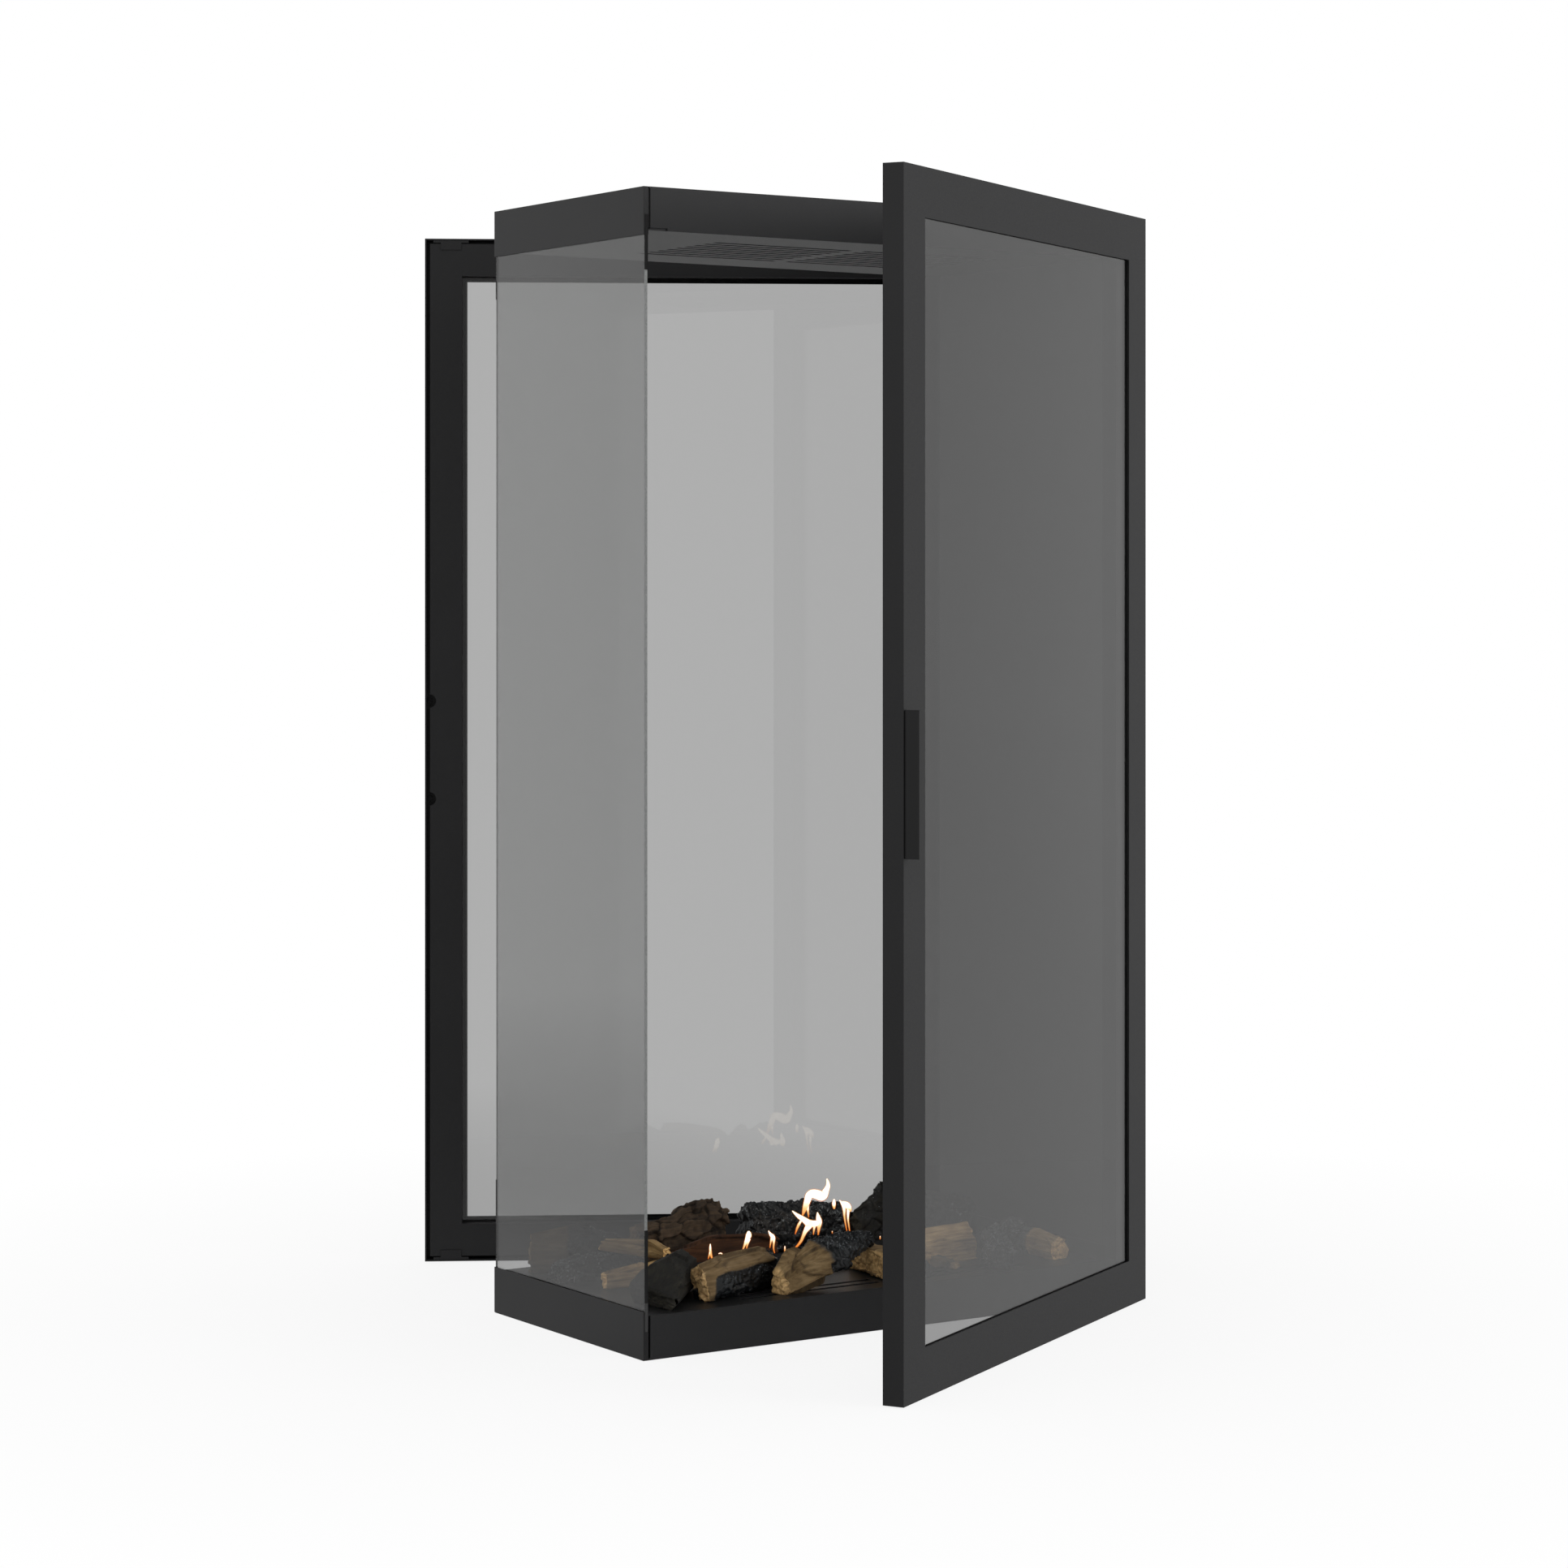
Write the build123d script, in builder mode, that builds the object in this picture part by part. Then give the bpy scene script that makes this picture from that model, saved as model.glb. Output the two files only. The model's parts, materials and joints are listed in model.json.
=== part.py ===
"""Double-sided ethanol fireplace with two glazed doors and a fixed glass end.

Origin at the middle of the case's base. +X points along the front to the hinge side,
+Y to the rear, +Z up. All sizes are in millimetres. The case is symmetric front to rear.
Both doors are shown part open: they are built shut and then swung on their hinge axis.
"""

import os

from build123d import *

os.makedirs("parts", exist_ok=True)

# Case
case_width = 715.0
case_depth = 350.0
case_height = 1340.0
steel = 2.0
base_band = 50.0
head_band = 50.0
plate_sheet = 1.5
lip_width = 14.0
pan_wall_margin = 10.0
pan_wall_drop = 4.0

# Left end channels and the fixed glass end
end_band = 55.0
channel_sheet = 1.2
channel_return = 6.7
channel_seam = 2.5
end_glass_thickness = 4.0
end_glass_skin_gap = 0.8
end_glass_leg_gap = 0.5
end_glass_edge_gap = 0.3
end_glass_foot = 10.0
setting_block_length = 60.0
setting_block_spacing = 200.0
buffer_thickness = 1.5
buffer_notch = 23.0
buffer_notch_gap = 0.3
front_top_buffer_drop = 40.0
rear_top_buffer_drop = 52.0
front_foot_buffer_top = 148.0
rear_foot_buffer_top = 161.0
foot_strip_rise = 10.0

# Right side: inner liner and outer casing with its posts
side_wall_depth = 52.2
liner_sheet = 1.5
liner_flange = 24.0
post_face = 31.7
casing_gap = 0.5
case_screw_diameter = 4.0
case_screw_head_flats = 7.0
case_screw_head = 2.8
case_screw_spacing = 220.0
case_screw_height = 22.0

# Air slots of the ceiling grille and of the floor plate
slot_length = 195.0
slot_group_spacing = 214.0
ceiling_slot_width = 9.0
ceiling_slot_pitch = 21.0
ceiling_slot_rows = 9
floor_slot_width = 8.0
floor_slot_rows_at = (124.0, 143.0)
plate_gap = 0.3
floor_upstand = 20.0
fixing_hole_diameter = 9.0
fixing_spacing_x = 600.0
fixing_spacing_y = 270.0
air_inlet_length = 220.0
air_inlet_width = 60.0
air_inlet_spacing_x = 260.0
air_inlet_spacing_y = 180.0
grip_notch_width = 25.0
grip_notch_height = 3.0
grip_notch_from_edge = 7.0

# Doors
door_side_step = 5.5
door_end_gap = 1.0
door_thickness = 25.0
door_gap = 3.0
door_frame_width = 55.0
door_open_angle = 29.6
glass_thickness = 4.0
glass_cover = 15.0
gasket_thickness = 1.0
gasket_width = 13.0
retainer_sheet = 1.5
retainer_recess = 2.0
retainer_margin = 6.5
retainer_inner_edge = 48.5
screw_notch_diameter = 17.5
t_plate_width = 46.0
t_plate_from_edge = 11.0
t_plate_cap = 3.4
t_plate_stem_width = 27.0
t_plate_stem = 9.2
t_plate_thickness = 1.6

# Handle
handle_height = 160.0
handle_width = 10.0
handle_reach = 18.0
handle_from_edge = 0.6
handle_root_thickness = 2.5
handle_root_inset = 1.4
handle_screw_spacing = 128.0
handle_edge_radius = 0.8
handle_screw_diameter = 4.0
handle_screw_head_flats = 6.6
handle_screw_head = 3.0
handle_screw_depth = 10.0
handle_screw_hole = 4.4

# Hinges
hinge_from_edge = 8.5
hinge_from_back = 13.5
hinge_pin_diameter = 8.0
hinge_pin_clearance = 0.05
hinge_pin_rise = 6.0
hinge_arm_width = 16.0
hinge_arm_thickness = 4.0
hinge_arm_height = 10.0
hinge_foot_sheet = 3.0
hinge_foot_height = 30.0
hinge_foot_width = 23.0
hinge_lift = 0.3
hinge_block_height = 6.7
hinge_block_depth = 18.0
hinge_slot_gap = 0.5
hinge_window_gap = 2.0
hinge_screw_diameter = 5.0
hinge_screw_hole = 5.4
hinge_screw_head_flats = 8.0
hinge_screw_head = 3.0
hinge_pin_chamfer = 1.0

# Catch magnets
magnet_width = 24.0
magnet_height = 12.0
magnet_thickness = 5.0
magnet_from_door_edge = 34.0
magnet_from_end = 11.0

# Burner
burner_length = 360.0
burner_width = 80.0
burner_top = 60.0
burner_sheet = 1.5
burner_skirt_gap = 4.5
burner_mouth_length = 320.0
burner_mouth_width = 30.0
burner_cutout_gap = 1.0
burner_lid_gap = 0.3
wool_height = 40.0
wool_gap = 1.0

# Log set, laid out in steps of this size
log_step = 10.0

# Places worked out from the sizes above
half_width = case_width / 2
half_depth = case_depth / 2
middle_height = case_height / 2
skin_inside = -half_width + channel_sheet
glass_outside = skin_inside + end_glass_skin_gap
glass_inside = glass_outside + end_glass_thickness
leg_left = glass_inside + end_glass_leg_gap
leg_right = leg_left + channel_sheet
band_left = -half_width + channel_return + channel_seam
pan_right = half_width - steel
liner_left = half_width - side_wall_depth
post_left = half_width - post_face
band_right = post_left - casing_gap
base_lip_top = base_band - plate_sheet
head_lip_bottom = case_height - head_band + plate_sheet
inside_wall = half_depth - steel
end_glass_top = case_height - end_glass_foot
floor_top = base_band
end_glass_half_depth = half_depth - channel_sheet - end_glass_edge_gap
door_width = case_width - 2 * door_side_step
door_height = case_height - 2 * door_end_gap
door_back = half_depth + door_gap
door_front = door_back + door_thickness
hinge_x = door_width / 2 - hinge_from_edge
hinge_y = door_back + hinge_from_back
top_arm_bottom = case_height - hinge_arm_height - hinge_arm_thickness
arm_bottoms = (hinge_arm_height, top_arm_bottom)
hinge_screw_middle = hinge_arm_height + (hinge_foot_height + hinge_arm_thickness) / 2
hinge_screw_heights = (hinge_screw_middle, case_height - hinge_screw_middle)


def finish(piece, name):
    """Label a finished piece and write it to its own file."""
    piece.part.label = name
    export_step(piece.part, f"parts/{name}.step")


def turned_over(piece):
    """The same piece upside down in the head of the case."""
    with BuildPart() as head_piece:
        mirror(piece.part, about=Plane.XY.offset(middle_height))
    return head_piece


# Folded pans: the base stands on the floor and the head is the same tray upside down
def folded_pan(band):
    """Tray with a plate, front and rear bands with their lips, and two low end walls."""
    end_wall_height = band - pan_wall_drop
    end_wall_depth = case_depth - 2 * pan_wall_margin
    with BuildPart() as pan:
        with BuildSketch():
            with Locations(((leg_right + pan_right) / 2, 0)):
                Rectangle(pan_right - leg_right, case_depth)
            with Locations(
                ((band_right + pan_right) / 2, half_depth), ((band_right + pan_right) / 2, -half_depth)
            ):
                Rectangle(pan_right - band_right, 2 * (steel + casing_gap), mode=Mode.SUBTRACT)
            with GridLocations(fixing_spacing_x, fixing_spacing_y, 2, 2):
                Circle(fixing_hole_diameter / 2, mode=Mode.SUBTRACT)
            with GridLocations(air_inlet_spacing_x, air_inlet_spacing_y, 2, 2):
                Rectangle(air_inlet_length, air_inlet_width, mode=Mode.SUBTRACT)
        extrude(amount=steel)
        band_middle = (band_left + band_right) / 2
        with BuildSketch():
            with Locations((band_middle, half_depth - steel / 2), (band_middle, -half_depth + steel / 2)):
                Rectangle(band_right - band_left, steel)
        extrude(amount=band)
        with BuildSketch(Plane.XY.offset(band - plate_sheet)):
            lip_middle = inside_wall - lip_width / 2
            with Locations((band_middle, lip_middle), (band_middle, -lip_middle)):
                Rectangle(band_right - band_left, lip_width)
        extrude(amount=-steel)
        with BuildSketch():
            with Locations((leg_right + steel / 2, 0), (pan_right - steel / 2, 0)):
                Rectangle(steel, end_wall_depth)
        extrude(amount=end_wall_height)
        with BuildSketch(Plane.YZ.offset(pan_right)):
            with Locations((0, case_screw_height)):
                with GridLocations(case_screw_spacing, 0, 2, 1):
                    Circle(case_screw_diameter / 2)
        extrude(amount=-steel, mode=Mode.SUBTRACT)
    return pan


base_pan = folded_pan(base_band)
finish(base_pan, "base_pan")

head_pan = turned_over(folded_pan(head_band))
with BuildPart() as notched_head:
    add(head_pan.part)
    with BuildSketch(Plane.XZ.offset(half_depth)):
        with Locations((-half_width + grip_notch_from_edge, case_height - head_band)):
            Rectangle(grip_notch_width, 2 * grip_notch_height, align=(Align.MIN, Align.CENTER))
    extrude(amount=-steel, mode=Mode.SUBTRACT)
finish(notched_head, "head_pan")


# Left end channels: skin, web, inner leg, and narrow returns notched for the glass edge
def end_channel(leg_height):
    """Channel along the left end, open upwards, as it stands in the base."""
    with BuildPart() as channel:
        with BuildSketch(Plane.XZ):
            with Locations((-half_width, 0)):
                Rectangle(leg_right + half_width, channel_sheet, align=Align.MIN)
                Rectangle(channel_sheet, end_band, align=Align.MIN)
        extrude(amount=half_depth - channel_sheet, both=True)
        with BuildSketch(Plane.XZ):
            with Locations((leg_left, 0)):
                Rectangle(channel_sheet, leg_height, align=Align.MIN)
        extrude(amount=half_depth - pan_wall_margin, both=True)
        for outside in (half_depth, channel_sheet - half_depth):
            with BuildSketch(Plane.XZ.offset(outside)):
                with Locations((-half_width, 0)):
                    Rectangle(channel_return, end_band, align=Align.MIN)
                with Locations(((glass_outside + glass_inside) / 2, end_band)):
                    Rectangle(
                        end_glass_thickness + 2 * buffer_notch_gap,
                        buffer_notch,
                        align=(Align.CENTER, Align.MAX),
                        mode=Mode.SUBTRACT,
                    )
            extrude(amount=-channel_sheet)
    return channel


left_base_channel = end_channel(base_band)
finish(left_base_channel, "left_base_channel")

left_head_channel = turned_over(end_channel(head_band))
finish(left_head_channel, "left_head_channel")

# Fixed glass end
glass_middle_x = (glass_outside + glass_inside) / 2
with BuildPart() as end_glass:
    with BuildSketch(Plane.XY.offset(end_glass_foot)):
        with Locations((glass_middle_x, 0)):
            Rectangle(end_glass_thickness, 2 * end_glass_half_depth)
    extrude(amount=end_glass_top - end_glass_foot)
finish(end_glass, "end_glass")

with BuildPart() as end_glass_setting_blocks:
    with BuildSketch(Plane.XY.offset(channel_sheet)):
        with Locations((glass_middle_x, 0)):
            with GridLocations(0, setting_block_spacing, 1, 2):
                Rectangle(end_glass_thickness, setting_block_length)
    extrude(amount=end_glass_foot - channel_sheet)
finish(end_glass_setting_blocks, "end_glass_setting_blocks")

with BuildPart() as end_glass_head_seal:
    with BuildSketch(Plane.XY.offset(end_glass_top)):
        with Locations((glass_middle_x, 0)):
            Rectangle(end_glass_thickness, 2 * end_glass_half_depth)
    extrude(amount=case_height - channel_sheet - end_glass_top)
finish(end_glass_head_seal, "end_glass_head_seal")

# Thin strips on the upright edges of the end glass
notch_bottom = end_band - buffer_notch
strip_joint = end_band + foot_strip_rise
top_notch = case_height - notch_bottom - buffer_notch_gap
edge_strips = {
    "end_glass_buffer_front_top": (1, case_height - end_band - front_top_buffer_drop, top_notch),
    "end_glass_buffer_rear_top": (-1, case_height - end_band - rear_top_buffer_drop, top_notch),
    "end_glass_buffer_front_foot": (1, strip_joint, front_foot_buffer_top),
    "end_glass_buffer_rear_foot": (-1, strip_joint, rear_foot_buffer_top),
    "end_glass_foot_strip_front": (1, notch_bottom + buffer_notch_gap, strip_joint),
    "end_glass_foot_strip_rear": (-1, notch_bottom + buffer_notch_gap, strip_joint),
}
for strip_name, (side, strip_bottom, strip_top) in edge_strips.items():
    with BuildPart() as edge_strip:
        with BuildSketch(Plane.XY.offset(strip_bottom)):
            with Locations((glass_middle_x, -side * (end_glass_half_depth + buffer_thickness / 2))):
                Rectangle(end_glass_thickness, buffer_thickness)
        extrude(amount=strip_top - strip_bottom)
    finish(edge_strip, strip_name)

# Floor plate with its air slots, burner cut-out and upstand along the side liner
plate_left = leg_right + plate_gap
plate_right = liner_left - plate_gap
plate_depth = 2 * (inside_wall - plate_gap)
with BuildPart() as floor_plate:
    with BuildSketch(Plane.XY.offset(base_band)):
        with Locations((plate_left, 0)):
            Rectangle(plate_right - plate_left, plate_depth, align=(Align.MIN, Align.CENTER))
        for row in floor_slot_rows_at:
            with GridLocations(slot_group_spacing, 2 * row, 2, 2):
                Rectangle(slot_length, floor_slot_width, mode=Mode.SUBTRACT)
        Rectangle(
            burner_length + 2 * burner_cutout_gap,
            burner_width + 2 * burner_cutout_gap,
            mode=Mode.SUBTRACT,
        )
    extrude(amount=-plate_sheet)
    with BuildSketch(Plane.XY.offset(base_band - plate_sheet)):
        with Locations((plate_right, 0)):
            Rectangle(plate_sheet, plate_depth, align=(Align.MAX, Align.CENTER))
    extrude(amount=floor_upstand + plate_sheet)
finish(floor_plate, "floor_plate")

# Ceiling grille
with BuildPart() as ceiling_grille:
    with BuildSketch(Plane.XY.offset(case_height - head_band)):
        with Locations((plate_left, 0)):
            Rectangle(plate_right - plate_left, plate_depth, align=(Align.MIN, Align.CENTER))
        with GridLocations(slot_group_spacing, ceiling_slot_pitch, 2, ceiling_slot_rows):
            Rectangle(slot_length, ceiling_slot_width, mode=Mode.SUBTRACT)
    extrude(amount=plate_sheet)
finish(ceiling_grille, "ceiling_grille")

# Side liner: inner wall with flanges that lie behind the posts
with BuildPart() as side_liner:
    with BuildSketch(Plane.XY.offset(base_lip_top)):
        with Locations((liner_left, 0)):
            Rectangle(liner_sheet, 2 * inside_wall, align=(Align.MIN, Align.CENTER))
        with Locations((liner_left, inside_wall), (liner_left, liner_sheet - inside_wall)):
            Rectangle(liner_flange, liner_sheet, align=(Align.MIN, Align.MAX))
    extrude(amount=head_lip_bottom - base_lip_top)
finish(side_liner, "side_liner")

# Side casing: outer wall and the faces of the two posts
arm_slot_height = hinge_arm_thickness + 2 * hinge_slot_gap
with BuildPart() as side_casing:
    with BuildSketch():
        with Locations((half_width, 0)):
            Rectangle(steel, case_depth, align=(Align.MAX, Align.CENTER))
        with Locations((half_width, half_depth), (half_width, steel - half_depth)):
            Rectangle(post_face, steel, align=Align.MAX)
    extrude(amount=case_height)
    for arm_bottom in arm_bottoms:
        with BuildSketch(Plane.XZ):
            with Locations((hinge_x, arm_bottom - hinge_slot_gap)):
                Rectangle(
                    hinge_arm_width + 2 * hinge_slot_gap, arm_slot_height, align=(Align.CENTER, Align.MIN)
                )
        extrude(amount=half_depth, both=True, mode=Mode.SUBTRACT)
    with BuildSketch(Plane.YZ.offset(half_width)):
        with Locations((0, case_screw_height), (0, case_height - case_screw_height)):
            with GridLocations(case_screw_spacing, 0, 2, 1):
                Circle(case_screw_diameter / 2)
    extrude(amount=-steel, mode=Mode.SUBTRACT)
    with BuildSketch(Plane.XZ):
        for screw_height in hinge_screw_heights:
            with Locations((hinge_x, screw_height)):
                Circle(hinge_screw_diameter / 2)
    extrude(amount=half_depth, both=True, mode=Mode.SUBTRACT)
finish(side_casing, "side_casing")

# Screws that join the pans' right walls to the casing, heads inside, ends flush outside
with BuildPart() as case_screws:
    for screw_z in (case_screw_height, case_height - case_screw_height):
        with BuildSketch(Plane.YZ.offset(half_width)):
            with Locations((0, screw_z)):
                with GridLocations(case_screw_spacing, 0, 2, 1):
                    Circle(case_screw_diameter / 2)
        extrude(amount=-2 * steel)
        with BuildSketch(Plane.YZ.offset(pan_right - steel)):
            with Locations((0, screw_z)):
                with GridLocations(case_screw_spacing, 0, 2, 1):
                    RegularPolygon(case_screw_head_flats / 2, 6, major_radius=False)
        extrude(amount=-case_screw_head)
finish(case_screws, "case_screws")


# Hinge hardware on the case, made for the front and mirrored for the rear
def hinge_arms_of_case():
    """Lower and upper bracket: a foot behind the post and an arm out to the hinge axis."""
    with BuildPart() as arms:
        for arm_bottom in arm_bottoms:
            with BuildSketch(Plane.XY.offset(arm_bottom)):
                with Locations((hinge_x, -inside_wall + hinge_foot_sheet)):
                    Rectangle(
                        hinge_arm_width,
                        hinge_y - inside_wall + hinge_foot_sheet,
                        align=(Align.CENTER, Align.MAX),
                    )
                with Locations((hinge_x, -hinge_y)):
                    Circle(hinge_arm_width / 2)
                    Circle(hinge_pin_diameter / 2, mode=Mode.SUBTRACT)
            extrude(amount=hinge_arm_thickness)
        with BuildSketch(Plane.XZ.offset(inside_wall)):
            with Locations((hinge_x, hinge_arm_height)):
                Rectangle(hinge_foot_width, hinge_foot_height, align=(Align.CENTER, Align.MIN))
            with Locations((hinge_x, case_height - hinge_arm_height)):
                Rectangle(hinge_foot_width, hinge_foot_height, align=(Align.CENTER, Align.MAX))
            for screw_height in hinge_screw_heights:
                with Locations((hinge_x, screw_height)):
                    Circle(hinge_screw_hole / 2, mode=Mode.SUBTRACT)
        extrude(amount=-hinge_foot_sheet)
    return arms


front_hinge_arms = hinge_arms_of_case()
finish(front_hinge_arms, "front_hinge_arms")

with BuildPart() as rear_hinge_arms:
    mirror(front_hinge_arms.part, about=Plane.XZ)
finish(rear_hinge_arms, "rear_hinge_arms")

with BuildPart() as hinge_pins:
    for arm_bottom in arm_bottoms:
        with BuildSketch(Plane.XY.offset(arm_bottom)):
            with Locations((hinge_x, -hinge_y), (hinge_x, hinge_y)):
                Circle(hinge_pin_diameter / 2)
        extrude(amount=hinge_arm_thickness + hinge_pin_rise)
        tips = hinge_pins.faces().filter_by(Plane.XY).sort_by(Axis.Z)[-2:]
        chamfer(tips.edges(), length=hinge_pin_chamfer)
finish(hinge_pins, "hinge_pins")

with BuildPart() as hinge_screws:
    for side in (1, -1):
        for screw_height in hinge_screw_heights:
            with BuildSketch(Plane.XZ.offset(side * half_depth)):
                with Locations((hinge_x, screw_height)):
                    Circle(hinge_screw_diameter / 2)
            extrude(amount=-side * (steel + hinge_foot_sheet))
            with BuildSketch(Plane.XZ.offset(side * (inside_wall - hinge_foot_sheet))):
                with Locations((hinge_x, screw_height)):
                    RegularPolygon(hinge_screw_head_flats / 2, 6, major_radius=False)
            extrude(amount=-side * hinge_screw_head)
finish(hinge_screws, "hinge_screws")

# Catch magnets behind the bands, where the doors' T plates close on them
with BuildPart() as catch_magnets:
    magnet_x = -door_width / 2 + magnet_from_door_edge
    for magnet_z in (magnet_from_end, case_height - magnet_from_end):
        with BuildSketch(Plane.XZ.offset(inside_wall)):
            with Locations((magnet_x, magnet_z)):
                Rectangle(magnet_width, magnet_height)
        extrude(amount=-magnet_thickness)
    mirror(about=Plane.XZ)
finish(catch_magnets, "catch_magnets")

# Door, built shut at the front: pressed tray, pane on its gasket, retaining frame, T plates
edge_left = -door_width / 2
face_inside = door_front - steel
glass_face = face_inside - gasket_thickness
glass_back = glass_face - glass_thickness
retainer_face = door_back + retainer_recess
opening_width = door_width - 2 * door_frame_width
opening_height = door_height - 2 * door_frame_width
pane_width = opening_width + 2 * glass_cover
pane_height = opening_height + 2 * glass_cover
handle_middle = edge_left + handle_from_edge + handle_width / 2
handle_screw_heights = (
    middle_height - handle_screw_spacing / 2,
    middle_height + handle_screw_spacing / 2,
)
block_left = hinge_x - hinge_arm_width / 2
block_right = door_width / 2 - steel

with BuildPart() as door_frame:
    with BuildSketch(Plane.XZ.offset(face_inside)):
        with Locations((0, middle_height)):
            Rectangle(door_width, door_height)
            Rectangle(opening_width, opening_height, mode=Mode.SUBTRACT)
        for screw_height in handle_screw_heights:
            with Locations((handle_middle, screw_height)):
                Circle(handle_screw_hole / 2, mode=Mode.SUBTRACT)
    extrude(amount=steel)
    with BuildSketch(Plane.XZ.offset(face_inside)):
        with Locations((0, middle_height)):
            Rectangle(door_width, door_height)
            Rectangle(door_width - 2 * steel, door_height - 2 * steel, mode=Mode.SUBTRACT)
    extrude(amount=-(door_thickness - steel))
    for arm_bottom in arm_bottoms:
        with BuildSketch(Plane.XZ.offset(face_inside)):
            with Locations((door_width / 2, arm_bottom - hinge_window_gap)):
                Rectangle(
                    steel, hinge_arm_thickness + 2 * hinge_window_gap, align=(Align.MAX, Align.MIN)
                )
        extrude(amount=-(door_thickness - steel), mode=Mode.SUBTRACT)

with BuildPart() as door_glass:
    with BuildSketch(Plane.XZ.offset(glass_back)):
        with Locations((0, middle_height)):
            Rectangle(pane_width, pane_height)
    extrude(amount=glass_thickness)

with BuildPart() as door_gasket:
    with BuildSketch(Plane.XZ.offset(glass_face)):
        with Locations((0, middle_height)):
            Rectangle(pane_width, pane_height)
            Rectangle(pane_width - 2 * gasket_width, pane_height - 2 * gasket_width, mode=Mode.SUBTRACT)
    extrude(amount=gasket_thickness)

with BuildPart() as door_retaining_frame:
    inner_width = door_width - 2 * retainer_inner_edge
    inner_height = door_height - 2 * retainer_inner_edge
    with BuildSketch(Plane.XZ.offset(retainer_face)):
        with Locations((0, middle_height)):
            Rectangle(door_width - 2 * retainer_margin, door_height - 2 * retainer_margin)
            Rectangle(inner_width, inner_height, mode=Mode.SUBTRACT)
        for screw_height in handle_screw_heights:
            with Locations((handle_middle, screw_height)):
                Circle(screw_notch_diameter / 2, mode=Mode.SUBTRACT)
        for corner_z in (middle_height - door_height / 2, middle_height + door_height / 2):
            with Locations((door_width / 2, corner_z)):
                Rectangle(
                    2 * (door_width / 2 - block_left + hinge_window_gap),
                    2 * (hinge_arm_height + hinge_arm_thickness + hinge_block_height),
                    mode=Mode.SUBTRACT,
                )
    extrude(amount=retainer_sheet)
    with BuildSketch(Plane.XZ.offset(retainer_face)):
        with Locations((0, middle_height)):
            Rectangle(inner_width + 2 * retainer_sheet, inner_height + 2 * retainer_sheet)
            Rectangle(inner_width, inner_height, mode=Mode.SUBTRACT)
    extrude(amount=glass_back - retainer_face)

with BuildPart() as door_t_plates:
    cap_middle = edge_left + t_plate_from_edge + t_plate_width / 2
    cap_edge = door_height / 2 - steel
    for up in (1, -1):
        with BuildSketch(Plane.XZ.offset(retainer_face)):
            with Locations((cap_middle, middle_height + up * (cap_edge - t_plate_cap / 2))):
                Rectangle(t_plate_width, t_plate_cap)
            with Locations((cap_middle, middle_height + up * (cap_edge - (t_plate_cap + t_plate_stem) / 2))):
                Rectangle(t_plate_stem_width, t_plate_cap + t_plate_stem)
        extrude(amount=-t_plate_thickness)

with BuildPart() as door_handle:
    with BuildSketch(Plane.XY.offset(middle_height - handle_height / 2)):
        with Locations((handle_middle, -door_front)):
            Rectangle(
                handle_width - 2 * handle_root_inset,
                handle_root_thickness,
                align=(Align.CENTER, Align.MAX),
            )
        with Locations((handle_middle, -door_front - handle_root_thickness)):
            Rectangle(
                handle_width,
                handle_reach - handle_root_thickness,
                align=(Align.CENTER, Align.MAX),
            )
    extrude(amount=handle_height)
    outer_edges = door_handle.edges().filter_by(Axis.Z).sort_by(Axis.Y)[:2]
    fillet(outer_edges, radius=handle_edge_radius)
    with BuildSketch(Plane.XZ.offset(door_front)):
        for screw_height in handle_screw_heights:
            with Locations((handle_middle, screw_height)):
                Circle(handle_screw_diameter / 2)
    extrude(amount=handle_screw_depth, mode=Mode.SUBTRACT)

with BuildPart() as door_handle_screws:
    for screw_height in handle_screw_heights:
        with BuildSketch(Plane.XZ.offset(face_inside)):
            with Locations((handle_middle, screw_height)):
                Circle(handle_screw_diameter / 2)
        extrude(amount=steel + handle_screw_depth)
        with BuildSketch(Plane.XZ.offset(face_inside)):
            with Locations((handle_middle, screw_height)):
                RegularPolygon(
                    handle_screw_head_flats / 2, 6, major_radius=False, rotation=30
                )
        extrude(amount=-handle_screw_head)

with BuildPart() as door_hinge_blocks:
    for arm_bottom in arm_bottoms:
        with BuildSketch(Plane.XY.offset(arm_bottom + hinge_arm_thickness + hinge_lift)):
            with Locations((block_right, -face_inside)):
                Rectangle(block_right - block_left, hinge_block_depth, align=(Align.MAX, Align.MIN))
            with Locations((hinge_x, -hinge_y)):
                Circle(hinge_pin_diameter / 2 + hinge_pin_clearance, mode=Mode.SUBTRACT)
        extrude(amount=hinge_block_height)

door_pieces = {
    "frame": door_frame,
    "glass": door_glass,
    "gasket": door_gasket,
    "retaining_frame": door_retaining_frame,
    "t_plates": door_t_plates,
    "handle": door_handle,
    "handle_screws": door_handle_screws,
    "hinge_blocks": door_hinge_blocks,
}
front_hinge_axis = Axis((hinge_x, -hinge_y, 0), (0, 0, 1))
for piece_name, door_piece in door_pieces.items():
    with BuildPart() as front_piece:
        add(door_piece.part.rotate(front_hinge_axis, door_open_angle))
    finish(front_piece, f"front_door_{piece_name}")
    with BuildPart() as rear_piece:
        mirror(front_piece.part, about=Plane.XZ)
    finish(rear_piece, f"rear_door_{piece_name}")

# Burner: open tank on the base plate, ceramic wool in it, and a cover with a long mouth
tank_length = burner_length - 2 * (burner_sheet + burner_skirt_gap)
tank_width = burner_width - 2 * (burner_sheet + burner_skirt_gap)
tank_top = burner_top - burner_sheet - burner_lid_gap
with BuildPart() as burner_tank:
    with BuildSketch(Plane.XY.offset(steel)):
        Rectangle(tank_length, tank_width)
    extrude(amount=tank_top - steel)
    offset(amount=-burner_sheet, openings=burner_tank.faces().sort_by(Axis.Z)[-1])
finish(burner_tank, "burner_tank")

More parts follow.
